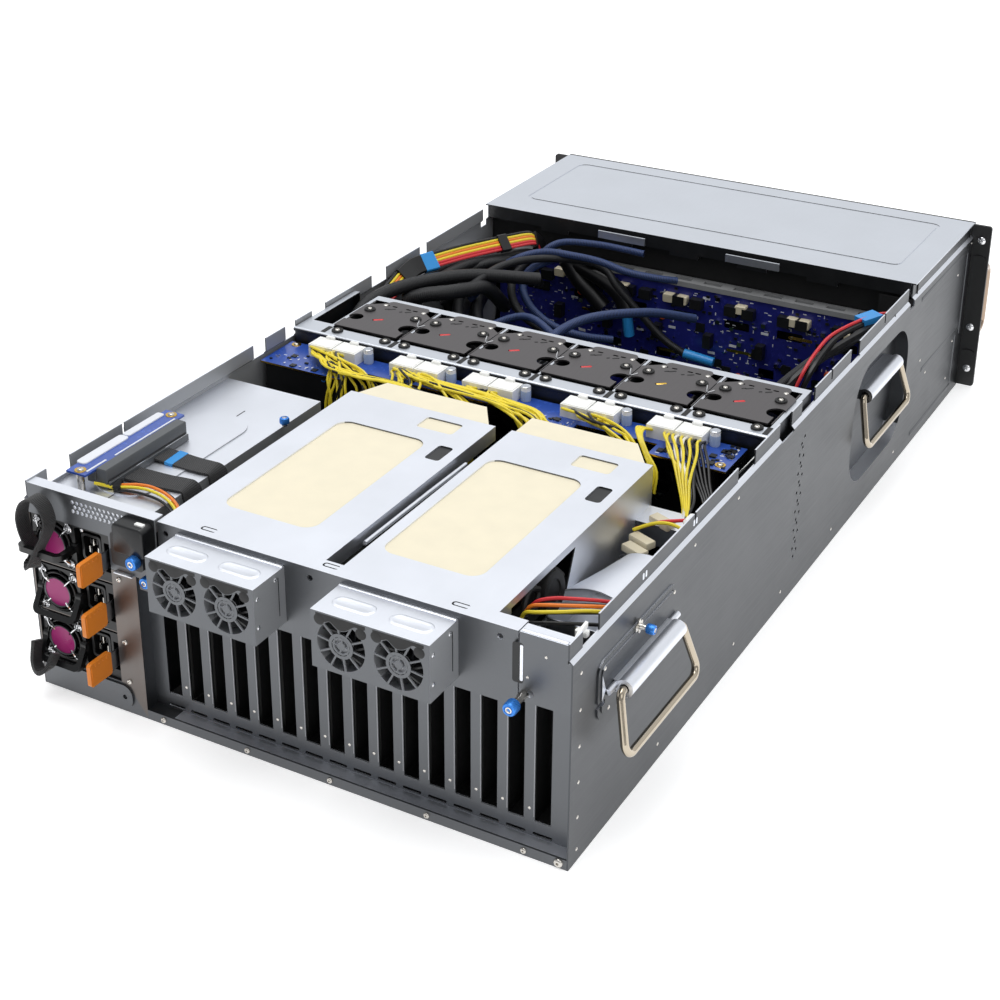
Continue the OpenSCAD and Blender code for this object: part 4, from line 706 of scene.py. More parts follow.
# The tray takes the bright copy as painted highlight, its faces turned to -X take the inner_face copy as painted
# light, and its underside takes the dark_inside copy as painted shade.
dress(("psu_tray",), bright, (inner_face, lambda c, n: n[0] < -0.7),
      (plated, lambda c, n: (c[1] > rear_y - 12) & (n[1] > 0.5)), (dark_inside, lambda c, n: n[2] < -0.7),
      (blue_mask, lambda c, n: (c[2] > 170.9) & (abs(c[0] - riser_x) < 9.2) & (c[1] < riser_end + 0.1)),
      (gunmetal, lambda c, n: (c[2] > 160.9) & (c[2] < 171.1) & (abs(c[0] - riser_x + 4) < 4) & (c[1] < riser_end)),
      (black, lambda c, n: c[1] > rear_y + 0.05))
put("riser_board_parts", "circuit_board",
    (gunmetal, join(slab(9.5, 96, 0.8, lid(14.6, 15.4, 0.6), (186.0, 350, 158.0)),
                    slab(2.2, 94, 0.5, lid(5), (180.0, 350, 158.4)))),
    (black, slab(3.2, 92, 0.4, lid(6.5), (182.2, 350, 158.2))),
    (chrome, slab(1.1, 93, 0.3, lid(0.8), (179.9, 350, 163.3))),
    (pale_print, join(slab(9.2, 52, 3, lid(1.0, 1.3, 0.3), (206.4, 371, 172.4)),
                      slab(7.0, 44, 2, lid(1.0, 1.3, 0.3), (207.0, 322, 172.4)),
                      slab(1.4, 72, 0.3, lid(0.5), (192.4, 338, riser_z)),
                      slab(1.6, 22, 0.3, lid(0.5), (193.4, 394, riser_z)))),
    (gold, join(*[turned([(0, 2.5), (0.5, 2.6), (0.6, 4.4), (0, 4.6)], (riser_x - 0.5, y, riser_z), up, 20, True)
                  for y in (297.5, 405)])),
    (nickel, join(*[screw((riser_x - 0.5, y, riser_z), up, 2.7, 1.8) for y in (297.5, 405)],
                  turned([(0, 2.8), (13.5, 2.8), (14, 2.4)], (riser_x, 405, 157), up, 12))))
near_run = bend([(180, 372, 160.2), (168, 370, 159.2), (152, 368, 158.4), (138, 366, 158.4), (131.5, 365, 157.4),
                 (128.6, 365, 151), (128.2, 365, 138)], 6)
far_run = bend([(180, 336, 160.6), (168, 335, 159.4), (152, 334.5, 158.4), (138, 334, 158.4), (131.5, 333, 157.4),
                (128.6, 333, 151), (128.2, 333, 138)], 6)
cable_black = webbing("black_flat_cable", "#1B1B1D", 1.3)
flats = put("riser_flat_cables", "cable_sleeve",
            (cable_black, join(carried(near_run, flat(20, 1.6)), carried(far_run, flat(20, 1.6)))))
run_uv(flats, len(near_run), 4)
put("riser_leads", "cable_sleeve",
    (yellow, wires([[(172, 395, 161), (160, 392, 162.5), (147, 391, 163), (132, 393, 162), (118, 399, 159),
                     (108, 408, 153)],
                    [(190, 402, 163), (183, 398, 161), (176, 395, 159)]], 1.25)),
    (orange_wire, wires([[(172, 392, 161.5), (160, 389, 163.5), (147, 388, 164.3), (132, 390, 163), (118, 396, 160),
                          (108, 405, 154)]], 1.25)),
    (black_wire, wires([[(172, 389.6, 161), (160, 386.6, 162.6), (146, 385.8, 163), (131, 388, 161.5),
                         (117, 394, 158.5), (107, 403, 153)],
                        [(172, 397, 159.6), (160, 395, 160.5), (147, 394, 160.4), (132, 396, 159.8), (118, 402, 157),
                         (109, 410, 151)]], 1.1)),
    (red_wire, wires([[(172, 391, 160), (164, 388.5, 160.8), (156, 387.5, 161)]], 1.1)))
put("riser_cable_tape", "cable_sleeve", (blue_tape, carried(far_run[5:9], flat(21.2, 2.2))),
    (black, carried(bend([(173, 391, 161), (178, 394, 160)], 3), [(-6, -2.2), (6, -2.2), (6, 2.4), (-6, 2.4)])))
seams = [slab(0.9, 50, 0.3, lid(0.12, foot=-0.05), (173.5, y, 157.0)) for y in (396, 330, 262)]
put("tray_seams", "cover_steel", (black, join(*seams)))

# ---- right rear corner
# The raised corner panel closes the cable room beside the far cover: a rounded fold on top in the
# bright copy of the steel as painted highlight, a captive thumbscrew, and white nylon clips that
# hold its leads.

clips = [slab(9, 5, 1.2, lid(3.2, 3.8, 0.8), at, n=3)
         for at in ((-207, 420, 160), (-214, 408, 162), (-212, 424, 158))]
hook = carried(bend([(-214, 430, 160), (-217.5, 428, 166), (-217.5, 420, 170), (-217, 408, 171)], 5),
               flat(4.4, 2), (1, 0, 0.1))
put("corner_clips", "insulation", (white, join(*clips, hook)))
roll = carried([(-219.4, 437.6, 172.2), (-187.4, 437.6, 172.2)], round_section(2.3, 12))
put("corner_rolled_edge", "chassis_steel", (bright, roll))

# ---- cable room beside the far cover
# Leads of the rear fans and of the front panel run through it to flat beige connectors, over
# the air duct, which is drawn in the bright copy of the steel as painted highlight.

beige = moulded("beige_nylon", "#D9CFB4", 0.44, 0.6, 0.02)
arcs = [[(-163, 396, 150), (-167, 397, 158), (-177, 398, 162), (-190, 392, 163), (-204, 381, 162), (-218, 371, 160)],
        [(-163, 391, 152), (-168, 391, 160), (-178, 390, 163.5), (-190, 385, 164), (-204, 377, 163.5),
         (-218, 366, 161)],
        [(-163, 384, 153), (-169, 383, 160), (-180, 380, 164), (-192, 376, 165), (-205, 369, 164), (-218, 360, 161)],
        [(-163, 387, 151), (-169, 387, 158), (-180, 385, 162), (-192, 380.5, 163), (-205, 373, 162.6),
         (-218, 363, 160)],
        [(-163, 393, 149), (-168, 394, 156), (-179, 394, 160), (-191, 388.5, 161), (-205, 379, 160), (-218, 368, 158)],
        [(-163, 399, 147), (-168, 402, 153), (-180, 402, 157), (-193, 397, 158), (-206, 389, 157), (-218, 380, 155)]]
beside = [[(-168, 232, 140), (-182, 228, 147), (-194, 226, 149), (-206, 228, 148), (-219, 232, 146)],
          [(-168, 228, 139), (-184, 223, 146), (-197, 219, 149), (-208, 214, 150), (-219, 212, 150)],
          [(-172, 262, 134), (-186, 260, 138), (-204, 262, 140), (-218, 270, 140)]]
put("cable_room_leads", "cable_sleeve",
    (yellow, wires([arcs[0], beside[0]], 1.35)), (orange_wire, wires([arcs[1]], 1.35)),
    (red_wire, wires([arcs[2], beside[1]], 1.35)), (black_wire, wires([arcs[3], arcs[4], arcs[5], beside[2]], 1.3)))
flat_plugs = [slab(20, 9, 1, lid(4.6, 5.2, 0.5), at, (0.92, -0.39, 0), (0.39, 0.92, 0), n=3)
              for at in ((-178, 238, 134), (-178, 250, 132), (-182, 212, 138))]
blobs = [slab(12, 14, 3, [(0, 0), (5, 0.2), (7, -1.5)], at, n=4)
         for at in ((-213, 240, 143), (-214, 228, 145), (-208, 216, 146))]
small_fan = turned([(0, 15), (8, 15), (8.4, 14), (8.0, 9), (7.0, 8.6), (7.4, 0.3)], (-158, 352, 149), (-1, 0, 0.1), 24)
coils = [[(-160, 330, 150), (-158, 338, 158), (-158, 350, 160), (-160, 362, 156), (-161, 372, 148)],
         [(-160, 336, 144), (-159, 346, 150), (-159, 360, 151), (-161, 374, 143)],
         [(-161, 366, 158), (-159, 374, 161), (-160, 384, 158), (-162, 392, 150)]]
put("cable_room_parts", "cable_sleeve", (beige, join(*flat_plugs)), (white, join(*blobs)),
    (rubber, join(small_fan, wires(coils, 2.2))),
    (chrome, wires([[(-158, 340, 156), (-156.5, 352, 160), (-158, 366, 157)]], 0.9)))

# ---- fan wall and its lift-out modules
# Six carriers in warm grey plated steel lift out by their finger holes. Each is held by four
# screws in black rubber grommets, and a coloured lever shows in its slanted slot.

module_grey = sheet_steel("warm_grey_module_plate", "#696667", 0.46, 0.0003)
dress(tuple(f"fan_module_{k}" for k in range(1, 7)), fan_black, (module_grey, lambda c, n: c[2] > 170.3))
dress(tuple(f"{n}_rotor_{k}" for n in ("upper", "lower") for k in range(1, 7)), fan_black)
red_lever = moulded("red_nylon", "#D9363A", 0.4, 0.5, 0.02)
deck, top, pitch, half, first_x = 170.5, 172.0, 67.6, 33.3, 191.3
grommets, heads = [], []
for k in range(1, 7):
    mx = centre(f"fan_module_{k}")[0]
    dots = [rivet((mx + s, 22, top), up, 2.2) for s in (-22, 17)]
    posts = [screw((mx + s, 38, top), up, 2.2, 2.2) for s in (-half + 9.6, half - 9.6)]
    cups = [turned([(0, 2.6), (1.2, 2.8), (1.7, 4.0), (1.2, 5.0), (0, 5.2)], (mx + s, 38, top), up, 18, True)
            for s in (-half + 9.6, half - 9.6)]
    tongue = slab(9.5, 2.9, 1.2, lid(0.4, 0.8, 0.5, -3), (mx + 5.2, 53.2, top - 0.9),
                  (0.819, 0.574, 0), (-0.574, 0.819, 0), 3)
    seams = [slab(w, 1.6, 0.6, lid(0.15, foot=-0.1), (mx + s, y, top), (0.8, 0.6, 0), (-0.6, 0.8, 0), 3)
             for s, y, w in ((-9, 27, 6), (-3, 29.5, 3), (7, 28, 7), (11, 30, 4))]
    put(f"fan_module_{k}_trim", "fan_plastic", (nickel, join(*dots, *posts)),
        (rubber, join(*cups, *seams)), (red_lever if k != 5 else gold, tongue),
        body=f"fan_module_{k}")
    for s in (-half + 9.1, half - 9.1):
        grommets.append(turned([(0, 2.7), (1.4, 2.9), (2.0, 4.0), (1.4, 5.0), (0, 5.2)],
                               (mx + s, 89.7, deck), up, 18, True))
        heads.append(screw((mx + s, 89.7, deck), up, 2.6, 2.2))
gaps = first_x - pitch * np.arange(7)
straps = [slab(4.4, 13.5, 0.4, [(0, 0), (0.25, -0.05)], (x, 91.0, deck - 0.02), n=3) for x in gaps]
tags = [join(slab(2.2, 9, 0.8, [(0, 0), (2.6, -0.3), (3.6, -0.8)], (x + 1.6, 47, 171), (0.94, 0.34, 0),
                  (-0.34, 0.94, 0), 3),
             slab(1.6, 8, 0.6, [(0, 0), (2.0, -0.3)], (x - 3.2, 50, 171), (0.9, -0.43, 0), (0.43, 0.9, 0), 3))
        for x in gaps[1:6]]
put("fan_wall_screws", "bail_steel", (nickel, join(*heads)), (rubber, join(*grommets, *straps)),
    (chrome, join(*tags)))

# ---- power distribution boards
# Blue boards behind the fan wall feed the cards: gold edges, white power sockets with their
# latches, tall capacitors with blue sleeves, and small parts soldered all over.

capacitor = polished("capacitor_aluminium", "#C9CDD4", 0.28)
board_z = 158.0
dress(("power_boards",), blue_mask, (black, lambda c, n: (c[2] < 156.3) | ((c[0] < -203.6) & (c[2] < 160))),
      (gold, lambda c, n: (abs(n[2]) < 0.5) & (c[2] > 156.4) & (c[2] < board_z) & (n[1] > 0.5)),
      (white, lambda c, n: (c[2] > board_z + 0.1) & (abs(c[1] - 113.5) < 9.9)))
rng = np.random.default_rng(7)


def scattered(lo, hi, count, sizes, z, heights):
    """Small soldered parts: count blocks at random places between two corners of a flat board."""
    at = rng.uniform(lo, hi, (count, 2))
    parts = []
    for size in sizes:
        some, at = at[:count // len(sizes)], at[count // len(sizes):]
        h = rng.uniform(*heights)
        parts.append(copies(box((-size[0] / 2, -size[1] / 2, 0), (size[0] / 2, size[1] / 2, h)),
                            np.column_stack([some, np.full(len(some), z)])))
    return join(*parts)


fields = (((148, 124), (214, 149)), ((-200, 128), (-142, 146)), ((-68, 128), (-22, 142)), ((-200, 106), (-190, 126)))
board_screws = (-196, 139, board_z), (212, 108, board_z)
put("power_board_parts", "circuit_board",
    (black, join(*[scattered(a, b, 12, ((5, 5), (3, 2), (2.4, 1.4)), board_z, (0.8, 1.8)) for a, b in fields])),
    (chrome, join(*[scattered(a, b, 18, ((1.4, 0.9), (2.2, 1.2)), board_z, (0.5, 1.0)) for a, b in fields])),
    (pale_print, join(*[scattered(a, b, 12, ((3.2, 1.0), (1.0, 2.8)), board_z, (0.06, 0.09)) for a, b in fields])),
    (gold, join(*[turned([(0, 2.4), (0.4, 2.4), (0.5, 4.2), (0, 4.4)], at, up, 18, True) for at in board_screws])),
    (nickel, join(*[screw(at, up, 2.4, 1.6) for at in board_screws])))
socket_x = (166, 85, 15, -75, -150)
keys, tops, sleeves, teeth = [], [], [], []
for x in socket_x:
    for s in (-12, 12):
        keys.append(slab(8, 3.0, 0.5, lid(2.2, 2.8, 0.6), (x + s, 105, 169.0), n=3))
        teeth.append(slab(20.4, 14.4, 0.8, lid(0.5, 0.8, 0.5, -0.2), (x + s, 114.2, 169.0), n=3))
    tops.append(turned([(0, 4.1), (0.5, 4.0), (0.9, 3.4), (0.7, 2.6)], (x - 29, 109.5, 170.0), up, 20))
    sleeves.append(turned([(0, 4.25), (8.0, 4.25), (8.6, 4.1)], (x - 29, 109.5, 158.2), up, 20))
cap_blue = moulded("pale_blue_capacitor_sleeve", "#A4B6D2", 0.4, 0.6, 0.01)
put("power_socket_parts", "circuit_board", (white, join(*keys, *teeth)),
    (capacitor, join(*tops)), (cap_blue, join(*sleeves)))

# ---- card power leads
# Yellow, black and white leads leave the white sockets in flat bunches. They run along the
# board to their cards and dive beside the covers.

board_edge = 121.5
yellow_runs, black_runs, white_runs = [], [], []
for x, reach, depth in ((166, -58, 148), (166, -26, 152), (85, -66, 154), (85, -10, 156), (15, -62, 150),
                        (-75, -48, 150)):
    for j in range(8):
        a = x + rng.uniform(-20, 20)
        b = x + reach + rng.uniform(-16, 16)
        h = rng.uniform(164.5, 171.0)
        run = [(a, board_edge, 164.5), (a + rng.uniform(-3, 3), 129, h - 0.5),
               (a + 0.35 * (b - a), 137 + rng.uniform(-3, 5), h),
               (a + 0.75 * (b - a), 143 + rng.uniform(-4, 6), h - 3.5), (b, 151 + rng.uniform(-3, 3), depth + 4),
               (b + rng.uniform(-5, 5), 155, depth - 16), (b + rng.uniform(-5, 5), 157, depth - 40)]
        (black_runs if j % 3 == 2 else yellow_runs).append(run)
for j in range(9):
    s = rng.uniform(-3, 3, 8)
    (black_runs if j % 4 == 3 else yellow_runs).append(
        [(176 + s[0] * 4, board_edge, 165), (168 + s[1] * 3, 134 + s[2], 168), (150 + s[3] * 3, 147 + s[4], 166.5),
         (128 + s[5] * 4, 150 + s[6], 165), (96 + s[7] * 4, 147 + s[0], 165), (66 + s[1] * 5, 149 + s[2], 163),
         (48 + 3 * s[3], 152 + s[4], 156), (40 + 3 * s[5], 156, 140)])
for j in range(7):
    s = rng.uniform(-2.5, 2.5, 8)
    (black_runs if j % 4 == 3 else yellow_runs).append(
        [(98 + s[0] * 3, board_edge, 165), (90 + s[1] * 3, 132 + s[2], 169), (64 + s[3] * 3, 137 + s[4], 169),
         (28 + s[5] * 3, 141 + s[6], 168.5), (-8 + s[7] * 3, 146 + s[0], 167), (-34 + s[1] * 3, 152 + s[2], 160),
         (-42 + s[3], 156 + s[4], 142)])
for j in range(6):
    z = 165.5 + 0.9 * (j % 3)
    y = 131 + 2.7 * j
    (black_runs if j == 4 else yellow_runs).append(
        [(74 - 4 * j, 124, 164), (52, y - 2, z + 1), (18, y, z + 1.5), (-16, y + 1, z), (-40, y + 4, z - 2),
         (-52, y + 12, 154), (-56, y + 16, 130)])
for j in range(10):
    s = (j % 5) * 3.4
    q = j // 5
    run = [(-142 - s * 2.2 - 4 * q, board_edge, 165), (-146 - s * 2 - 2 * q, 131, 167.5 - q),
           (-156 - s * 1.6, 142 + 2 * q, 163 - 2 * q), (-166 - s * 1.3 - 3 * q, 154 + s, 154),
           (-176 - s - 4 * q, 168 + s, 146), (-187 - s * 0.7, 186 + s, 141), (-196 - s * 0.5, 204 + s, 132)]
    (yellow_runs if q == 0 or j % 5 < 1 else black_runs if j % 5 > 2 else white_runs).append(run)
for j in range(5):
    black_runs.append([(-160 - 4 * j, board_edge, 163), (-164 - 4 * j, 132, 165), (-172 - 4 * j, 144, 160),
                       (-184 - 3 * j, 158, 150), (-197 - 2 * j, 172, 142), (-208 - j, 190, 134)])
for j in range(4):
    yellow_runs.append([(-132 + 3 * j, board_edge, 165), (-128 + 2 * j, 130, 168), (-131 + j, 140, 166),
                        (-140 + j, 148, 158), (-151 + 2 * j, 155, 148), (-152 + 3 * j, 160, 132)])
put("card_power_leads", "cable_sleeve", (yellow, wires(yellow_runs, 1.2, 4)),
    (black_wire, wires(black_runs, 1.2, 4)), (white_wire, wires(white_runs, 1.25, 4)))

# ---- front looms and their sleeves
# Dark blue and black braided sleeves hold the drive leads. A flat bunch of coloured leads wrapped
# in tape climbs through the end of the fan wall, and a red lead runs forward on the other side.


def braided(name, code, other, pitch_mm):
    """Braided sleeve: two crossing waves of strands pitch_mm apart round a tube, in two close colours."""
    made = bpy.data.materials.new(name)
    tree = empty(made)
    along = add(tree, "UVMap").outputs["UV"]
    weave = []
    for slant in (9, -9):
        strands = add(tree, "Mapping", {"Vector": along, "Scale": (1 / pitch_mm, 8, 1),
                                        "Rotation": (0, 0, np.radians(slant))})
        weave.append(add(tree, "TexWave", {"Vector": strands.outputs[0], "Scale": 0.31}).outputs["Fac"])
    both = add(tree, "Math", {0: weave[0], 1: weave[1]}, operation="MAXIMUM")
    tone = add(tree, "ValToRGB", {"Fac": both.outputs[0]}, stops=((0.45, hue(code)), (0.95, hue(other))))
    bump = add(tree, "Bump", {"Height": both.outputs[0], "Distance": 0.0004, "Strength": 0.6})
    body = add(tree, "BsdfPrincipled", {"Base Color": tone.outputs[0], "Roughness": 0.5, "Normal": bump.outputs[0]})
    add(tree, "OutputMaterial", {"Surface": body.outputs[0]})
    return made


loom_left = [(203, 60, 130), (203, 24, 158), (202, -10, 164), (190, -60, 162), (160, -110, 158), (110, -150, 150)]
loom_mid = [(60, -10, 60), (58, -40, 120), (40, -90, 142), (0, -150, 138), (-30, -200, 120)]
loom_far = [(-150, -10, 60), (-158, -40, 120), (-180, -90, 148), (-196, -140, 150), (-198, -200, 148)]
loom_cross = [(150, -60, 110), (100, -100, 132), (30, -60, 128), (-40, -40, 130), (-100, -60, 118)]
sleeve_blue = braided("dark_blue_braided_sleeve", "#0A1026", "#2F4678", 1.5)
sleeve_black = braided("black_braided_sleeve", "#050506", "#17181C", 1.6)


def sleeves_of(name, material, routes, r):
    """Round sleeves of radius r along the routes, with the length along them in their UV."""
    paths = [bend(route, 8) for route in routes]
    made = put(name, "cable_sleeve",
               (material, join(*[carried(p, round_section(r, 12), (0.03, 0.02, 1)) for p in paths])))
    run_uv(made, len(paths[0]), 12)
    return made


sleeve = sleeves_of("loom_left_sleeve", sleeve_black, [loom_left], 6.3)
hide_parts("cable_harness")
sleeves_of("loom_mid_sleeve", sleeve_blue, [loom_mid], 4.4)
sleeves_of("loom_far_sleeve", sleeve_black, [loom_far], 4.3)
sleeves_of("loom_cross_sleeve", sleeve_blue, [loom_cross], 3.6)
front_looms = [
    [(137, -204, 152), (128, -210, 161), (116, -220, 164), (86, -231, 163), (58, -233, 162), (40, -234, 161)],
    [(190, -157, 110), (168, -168, 140), (147, -176, 156), (127, -194, 160), (101, -203, 158), (77, -213, 153),
     (49, -215, 147), (23, -223, 143), (5, -236, 139)],
    [(176, -75, 140), (156, -93, 152), (146, -137, 160), (128, -178, 158), (98, -216, 149), (77, -226, 140),
     (61, -222, 126), (37, -226, 101), (13, -230, 78), (-12, -232, 65)],
    [(124, -204, 150), (134, -176, 146), (132, -158, 134), (117, -150, 118), (93, -151, 104), (68, -161, 96),
     (45, -179, 90)],
    [(126, -225, 150), (143, -184, 148), (138, -146, 138), (124, -137, 118), (95, -135, 104)]]
for number, (route, r) in enumerate(zip(front_looms, (3.3, 3.6, 3.8, 3.8, 4.0)), 1):
    sleeves_of(f"front_loom_{number}_sleeve", sleeve_blue if number in (1, 2, 4) else sleeve_black, [route], r)
left_looms = [
    [(194, -42, 150), (177, -49, 156), (163, -63, 156), (155, -87, 152), (148, -114, 146), (153, -161, 110)],
    [(191, -50, 150), (189, -98, 154), (180, -139, 156), (168, -177, 152), (153, -211, 148), (150, -228, 130)],
    [(207, -146, 100), (191, -116, 138), (180, -139, 150), (164, -166, 152), (153, -208, 138), (149, -226, 110)],
    [(206, -40, 110), (207, -70, 140), (205, -110, 150), (196, -150, 150), (184, -190, 146), (172, -222, 120)]]
sleeves_of("left_loom_sleeves", sleeve_black, left_looms[:1], 7.0)
sleeves_of("left_loop_sleeves", sleeve_black, left_looms[1:], 5.0)
side_looms = [
    [(40, -40, 50), (80, -60, 84), (130, -90, 96), (178, -150, 104), (206, -230, 110), (216, -300, 112)],
    [(-20, -20, 60), (30, -40, 92), (100, -60, 106), (160, -90, 112), (196, -150, 120), (212, -240, 128)],
    [(96, -30, 60), (120, -60, 90), (150, -100, 88), (190, -170, 92), (212, -240, 96)],
    [(-60, -30, 70), (-20, -50, 92), (40, -56, 84), (110, -80, 82), (170, -120, 84), (206, -200, 88)]]
for number, route in enumerate(side_looms, 1):
    sleeves_of(f"side_loom_{number}_sleeve", sleeve_black, [route], 5.5)
tie = moulded("black_heat_shrink", "#101011", 0.32, 0.7, 0.02)
put("loom_ties", "cable_sleeve",
    (tie, join(carried(bend([(119, -224, 144), (107, -226, 126), (91, -227, 112), (78, -227, 100)], 5),
                       round_section(8.4, 14)),
               carried(bend([(109, -228, 140), (80, -227, 130), (61, -227, 118), (53, -226, 104)], 5),
                       round_section(8.8, 14)))),
    (blue_tape, join(carried([(-8, -232, 67), (-38, -234, 63)], round_section(4.8, 10), (0.1, 1, 0)),
                     carried([(52, -226, 98), (49, -227, 76)], round_section(5.2, 10), (0.1, 1, 0)))))

climb = bend([(203, 40, 138), (205, -10, 148), (209, -50, 158), (210, -68, 162), (209, -86, 165), (201, -104, 166),
              (188, -134, 166.5), (174, -162, 166.5), (162, -188, 165.5), (153, -212, 163), (150, -220, 158),
              (147, -223, 148)], 8)
beside_climb = np.cross(np.gradient(climb, axis=0), up)
beside_climb /= np.linalg.norm(beside_climb, axis=1, keepdims=True)
lead_sets = {yellow: (-4.9, 0.1), orange_wire: (-2.2,), red_wire: (2.7, 5.2), black_wire: (-7.4,)}
put("front_panel_leads", "cable_sleeve",
    *[(kind, join(*[carried(climb + 0.7 * s * beside_climb + (0, 0, -0.75 * s), round_section(1.45, 8))
                    for s in offsets])) for kind, offsets in lead_sets.items()])
wrap = [(-9.2, -2.2), (-8.4, -3.0), (7.4, -3.0), (8.2, -2.2), (8.2, 2.2), (7.4, 3.0), (-8.4, 3.0), (-9.2, 2.2)]
wrap = np.array(wrap) @ np.array([(0.68, -0.73), (0.73, 0.68)])
put("front_panel_wraps", "cable_sleeve",
    (tie, join(carried(climb[22:37], wrap), carried(climb[60:64], wrap), carried(climb[76:89], wrap))),
    (blue_tape, carried(climb[36:42], wrap * (1.04, 1.06))))
red_run = [(-176, -60, 120), (-184, -74, 150), (-186, -100, 160), (-188, -128, 163.5), (-198, -158, 166),
           (-209, -182, 167), (-216, -196, 165)]
put("right_front_leads", "cable_sleeve", (red_wire, wires([red_run], 1.6)),
    (black_wire, join(wires([[(x - 4, y - 4, z - 3) for x, y, z in red_run]], 2.6),
                      wires([[(-150, -40, 100), (-176, -70, 140), (-190, -110, 152), (-204, -150, 158),
                              (-214, -190, 160)]], 4.0))),
    (blue_tape, carried([(-200, -166, 164.5), (-210, -184, 165.8)], flat(14, 6.8))))

# ---- drive backplane
# A navy board stands across the chassis behind the drives, crowded with beige lead sockets,
# chips, orange screws and bare openings, below a slotted steel strip.

navy_mask = solder_mask("navy_solder_mask", "#20257A", 1.0, 0.36)
back_y = -246.0
strip_zinc = moulded("dull_zinc_strip", "#8C8D8E", 0.5, 1.5, 0.02)
dress(("backplane",), navy_mask, (strip_zinc, lambda c, n: c[2] > 131),
      (black, lambda c, n: (c[2] < 130.9) & (c[1] > back_y + 0.05) & (c[1] < back_y + 9.5)))
parts = np.column_stack([rng.uniform(-182, 198, 760), np.full(760, back_y), rng.uniform(8, 128, 760)])
chips = np.column_stack([np.arange(-166, 190, 29.0) + rng.uniform(-5, 5, 13), np.full(13, back_y),
                         rng.uniform(40, 108, 13)])
labels = np.column_stack([rng.uniform(-176, 190, 20), np.full(20, back_y), rng.uniform(44, 126, 20)])
orange_cap = moulded("orange_screw_cap", "#E0622A", 0.4, 0.5, 0.02)


def blocks(w, h, t, places):
    """Blocks on the board's rear face, w across, h high and t thick, one at each place."""
    return copies(slab(w, h, 0.0, lid(t), origin, side, up, 1), places)


put("backplane_parts", "circuit_board",
    (black, join(blocks(9, 9, 1.6, chips), blocks(3.4, 2.4, 1.2, parts[:150]))),
    (chrome, join(blocks(2.0, 1.3, 0.9, parts[150:400]), blocks(4.2, 4.2, 2.8, parts[400:430]))),
    (pale_print, join(blocks(7.5, 2.6, 0.3, labels), blocks(1.0, 3.0, 0.1, parts[430:560]),
                      blocks(3.4, 0.9, 0.1, parts[560:]))),
    (beige, join(*[slab(11, 8.5, 1.2, lid(7.0, 7.6, 0.6), (x, back_y, z), side, up, 3)
                   for x, z in ((15, 118), (1, 118), (-112, 118), (-124, 118), (64, 119), (120, 122), (134, 122),
                                (-60, 120), (-168, 114))])),
    (gold, join(*[slab(w + 2.2, h + 2.2, 1.5, lid(0.12), (x, back_y, z), side, up, 3)
                  for x, z, w, h in ((-120, 100, 22, 1), (-60, 74, 26, 1), (12, 60, 24, 1), (100, 86, 20, 1),
                                     (150, 54, 18, 1))])),
    (orange_cap, join(*[turned([(0, 3.6), (2.4, 3.4), (2.8, 2.0), (1.4, 1.6)], (x, back_y, z), rear, 16)
                        for x, z in ((112, 104), (-150, 70), (22, 96), (-60, 48), (160, 66))])))
# Near-black sheets stand for the shade of the drive bay: a wall across the chassis behind the backplane's openings, a
# floor under the drives and a patch in the corner. They are painted shade.
bay_dark = moulded("matt_black_painted_shade", "#0B0B0C", 0.7, 0.8, 0.02)
put("bay_painted_shade", "chassis_steel",
    (bay_dark, join(box((-222.4, -262.5, 64.5), (222.4, -261.3, 174.2)),
                    box((-222.4, -436.5, 63.8), (222.4, -262, 64.4)),
                    box((-222.4, -250, 137), (-190.5, -248.8, 160)))))

# ---- main and switch boards
# Dark boards below the looms: finned aluminium coolers between black memory modules, and card
# sockets towards the rear panel. Little light reaches them.

green_mask = solder_mask("dark_green_solder_mask", "#122A1E", 1.2, 0.4)
fins = polished("extruded_aluminium_fins", "#9A9DA1", 0.42)
cooler_x = 95
# Their part beyond y = 100 takes bay_dark, the black of the painted shade.
dress(("main_boards",), black,
      (fins, lambda c, n: (c[2] > 13.7) & (c[2] < 72) & (c[1] < -60) & (abs(abs(c[0]) - cooler_x) < 40)
       & (abs(abs(abs(c[0]) - cooler_x) - 32.9) > 20)),
      (green_mask, lambda c, n: (c[2] > 11.9) & (c[2] < 13.7)), (bay_dark, lambda c, n: c[1] > 100))

# ---- card room behind the slots
# The room behind the slot panel is unlit. Black sheets stand in it between the slots and across
# its far side, as painted shade of the room.

slot_shade_sheets = [box((x - 1.0, 400.5, 16), (x + 1.0, 420, 106)) for x in bar_x]
put("card_room_painted_shade", "chassis_steel", (bay_dark, join(box((-215, 398, 14.5), (100, 400, 112)), *slot_shade_sheets)))

# ---- front frame, ears and drives
# Textured black powder coat on a steel frame, three chromed screws on each ear, and a dark
# filter mat behind the grille. The drive carriers have moulded bezels with a release latch.

coat_black = moulded("textured_black_powder_coat", "#141516", 0.45, 0.6, 0.05)
carrier_grey = sheet_steel("drive_carrier_rail", "#8F9296", 0.35, 0.0003)
handle_nickel = polished("nickel_plated_handle", "#A38F7E", 0.16)
dress(("front_frame",), coat_black, (handle_nickel, lambda c, n: c[1] < -rear_y - 0.05))
dress(tuple(f"drive_carrier_{k}" for k in range(1, 9)), carrier_grey, (black, lambda c, n: c[1] < -431.8))
ear_screws = [turned([(0, 3.8), (0.8, 3.9), (1.6, 3.0), (2.1, 1.6), (1.5, 1.2)], (s * x, -437.0, z), rear, 18)
              for s in (-1, 1) for x, z in ((232.7, 158.7), (231.5, 66.0), (233, 21))]
plugs = [slab(13, 8.4, 4, lid(0.2, foot=-0.8), (s * 232.5, -436.0, 88 + z), side, up, 4)
         for s in (-1, 1) for z in (-50.8, 50.8)]
put("ear_screws", "bail_steel", (coat_black, join(*plugs)), (chrome, join(*ear_screws)))
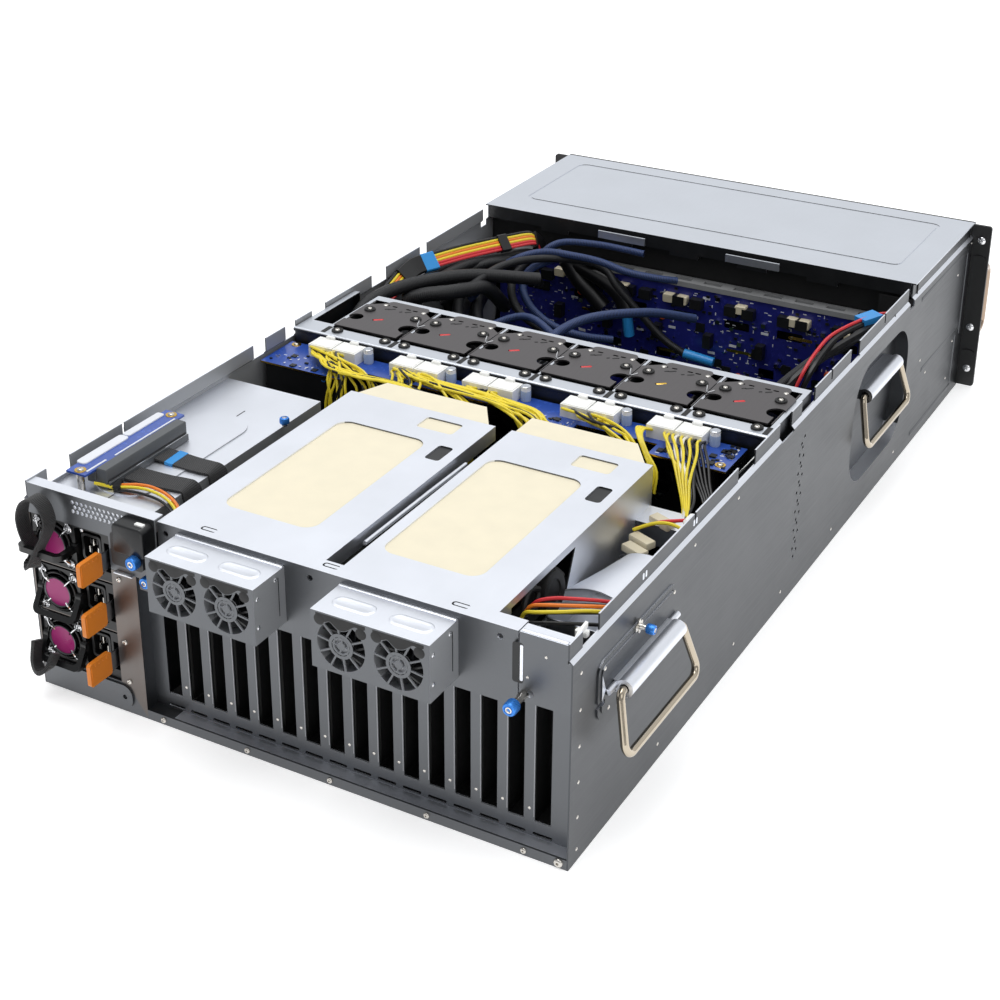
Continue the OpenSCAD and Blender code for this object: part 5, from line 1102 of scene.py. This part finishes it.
mat = slab(444, 102, 1, lid(1.6), (0, -432, 117), side, up, 2)
put("filter_mat", "black_paint", (moulded("open_cell_foam", "#101011", 0.85, 1.6, 0.4), mat))
for k in range(1, 9):
    cx, _, cz = centre(f"drive_carrier_{k}")
    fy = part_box(f"drive_carrier_{k}")[0][1] / mm
    face = dict(right=(1, 0, 0), up=up)
    latch = slab(30, 9, 2, lid(0.6, 1.0, 0.6, -0.8), (cx + 22, fy + 1.0, cz), n=4, **face)
    rib = [slab(1.0, 7, 0.4, lid(0.5), (cx + 12 + 3 * j, fy + 0.5, cz), n=3, **face) for j in range(5)]
    lamps = [turned([(0, 1.1), (0.3, 1.0), (0.5, 0.5)], (cx + 48, fy, cz + dz), (0, -1, 0), 12) for dz in (-4, 4)]
    put(f"drive_carrier_{k}_face", "drive_black", (black, join(latch, *rib)), (pale_print, join(*lamps)),
        body=f"drive_carrier_{k}")

# ---- carrying bails
# Round nickel-plated rod bent to a bail and sprung into the tube of its bracket. The plating is
# bright enough to mirror the room. Its colour is nickel's own warm tone, made darker and browner
# as painted reflection of the dark and brown things round it.


rod_nickel = polished("nickel_plated_rod", "#B9AE9C", 0.13, 0.00004, 120.0)
dress(tuple(f"bail_{a}_{b}" for a in ("rear", "front") for b in ("left", "right")), rod_nickel)
for s, name in ((-1, "right"), (1, "left")):
    out, plate_x = (s, 0, 0), s * (wall_x + 1.2)
    knob, steel = thumbscrew((plate_x + s, 346, 138.5), out, 3.6, 6.5, 5.2)
    fork = join(slab(3.0, 11, 1.0, lid(1.2, 1.5, 0.3), (plate_x, 346, 138.5), (0, s, 0), up, 3),
                slab(11, 5, 1.0, lid(1.0), (plate_x, 346, 138.5), (0, s, 0), up, 3))
    pins = [rivet((plate_x + 0.9 * s, y, z), out, 1.6) for y, z in ((288, 134), (397, 134), (288, 100), (390, 100))]
    put(f"bail_catch_{name}", "bail_steel", (blue, knob), (nickel, join(steel, fork, *pins)))

# ---- beads pressed in the walls
# Long narrow beads stiffen the walls towards the front ears, in the darker wall copy of the steel
# as painted shade, and slots pair up along the lips, where the top cover hooks in. The slots are
# plates of the bright copy, as painted light of the pale room seen through them.

for s, name in ((-1, "right"), (1, "left")):
    face = dict(right=(0, s, 0), up=up)
    beads = [slab(w, h, 1.6, [(-0.2, 1.2), (0.35, 0.4), (0.6, -0.5)], (s * wall_x, y, z), **face)
             for w, h, y, z in ((150, 3.4, -348, 152), (3.4, 86, -424, 106), (112, 3.4, -352, 72),
                                (3.4, 52, -410, 40), (130, 3.4, -345, 11))]
    # The catches are light plates: painted light where the room shows through the slots.
    catches = [slab(2.2, 5.0, 0.8, [(-0.1, 0), (0.3, -0.1)], (s * 221.4, y + d, 168.0), n=3, **face)
               for y in (246, 330) for d in (-2.2, 2.2)]
    put(f"wall_beads_{name}", "chassis_steel", (wall_steel, join(*beads)), (bright, join(*catches)))
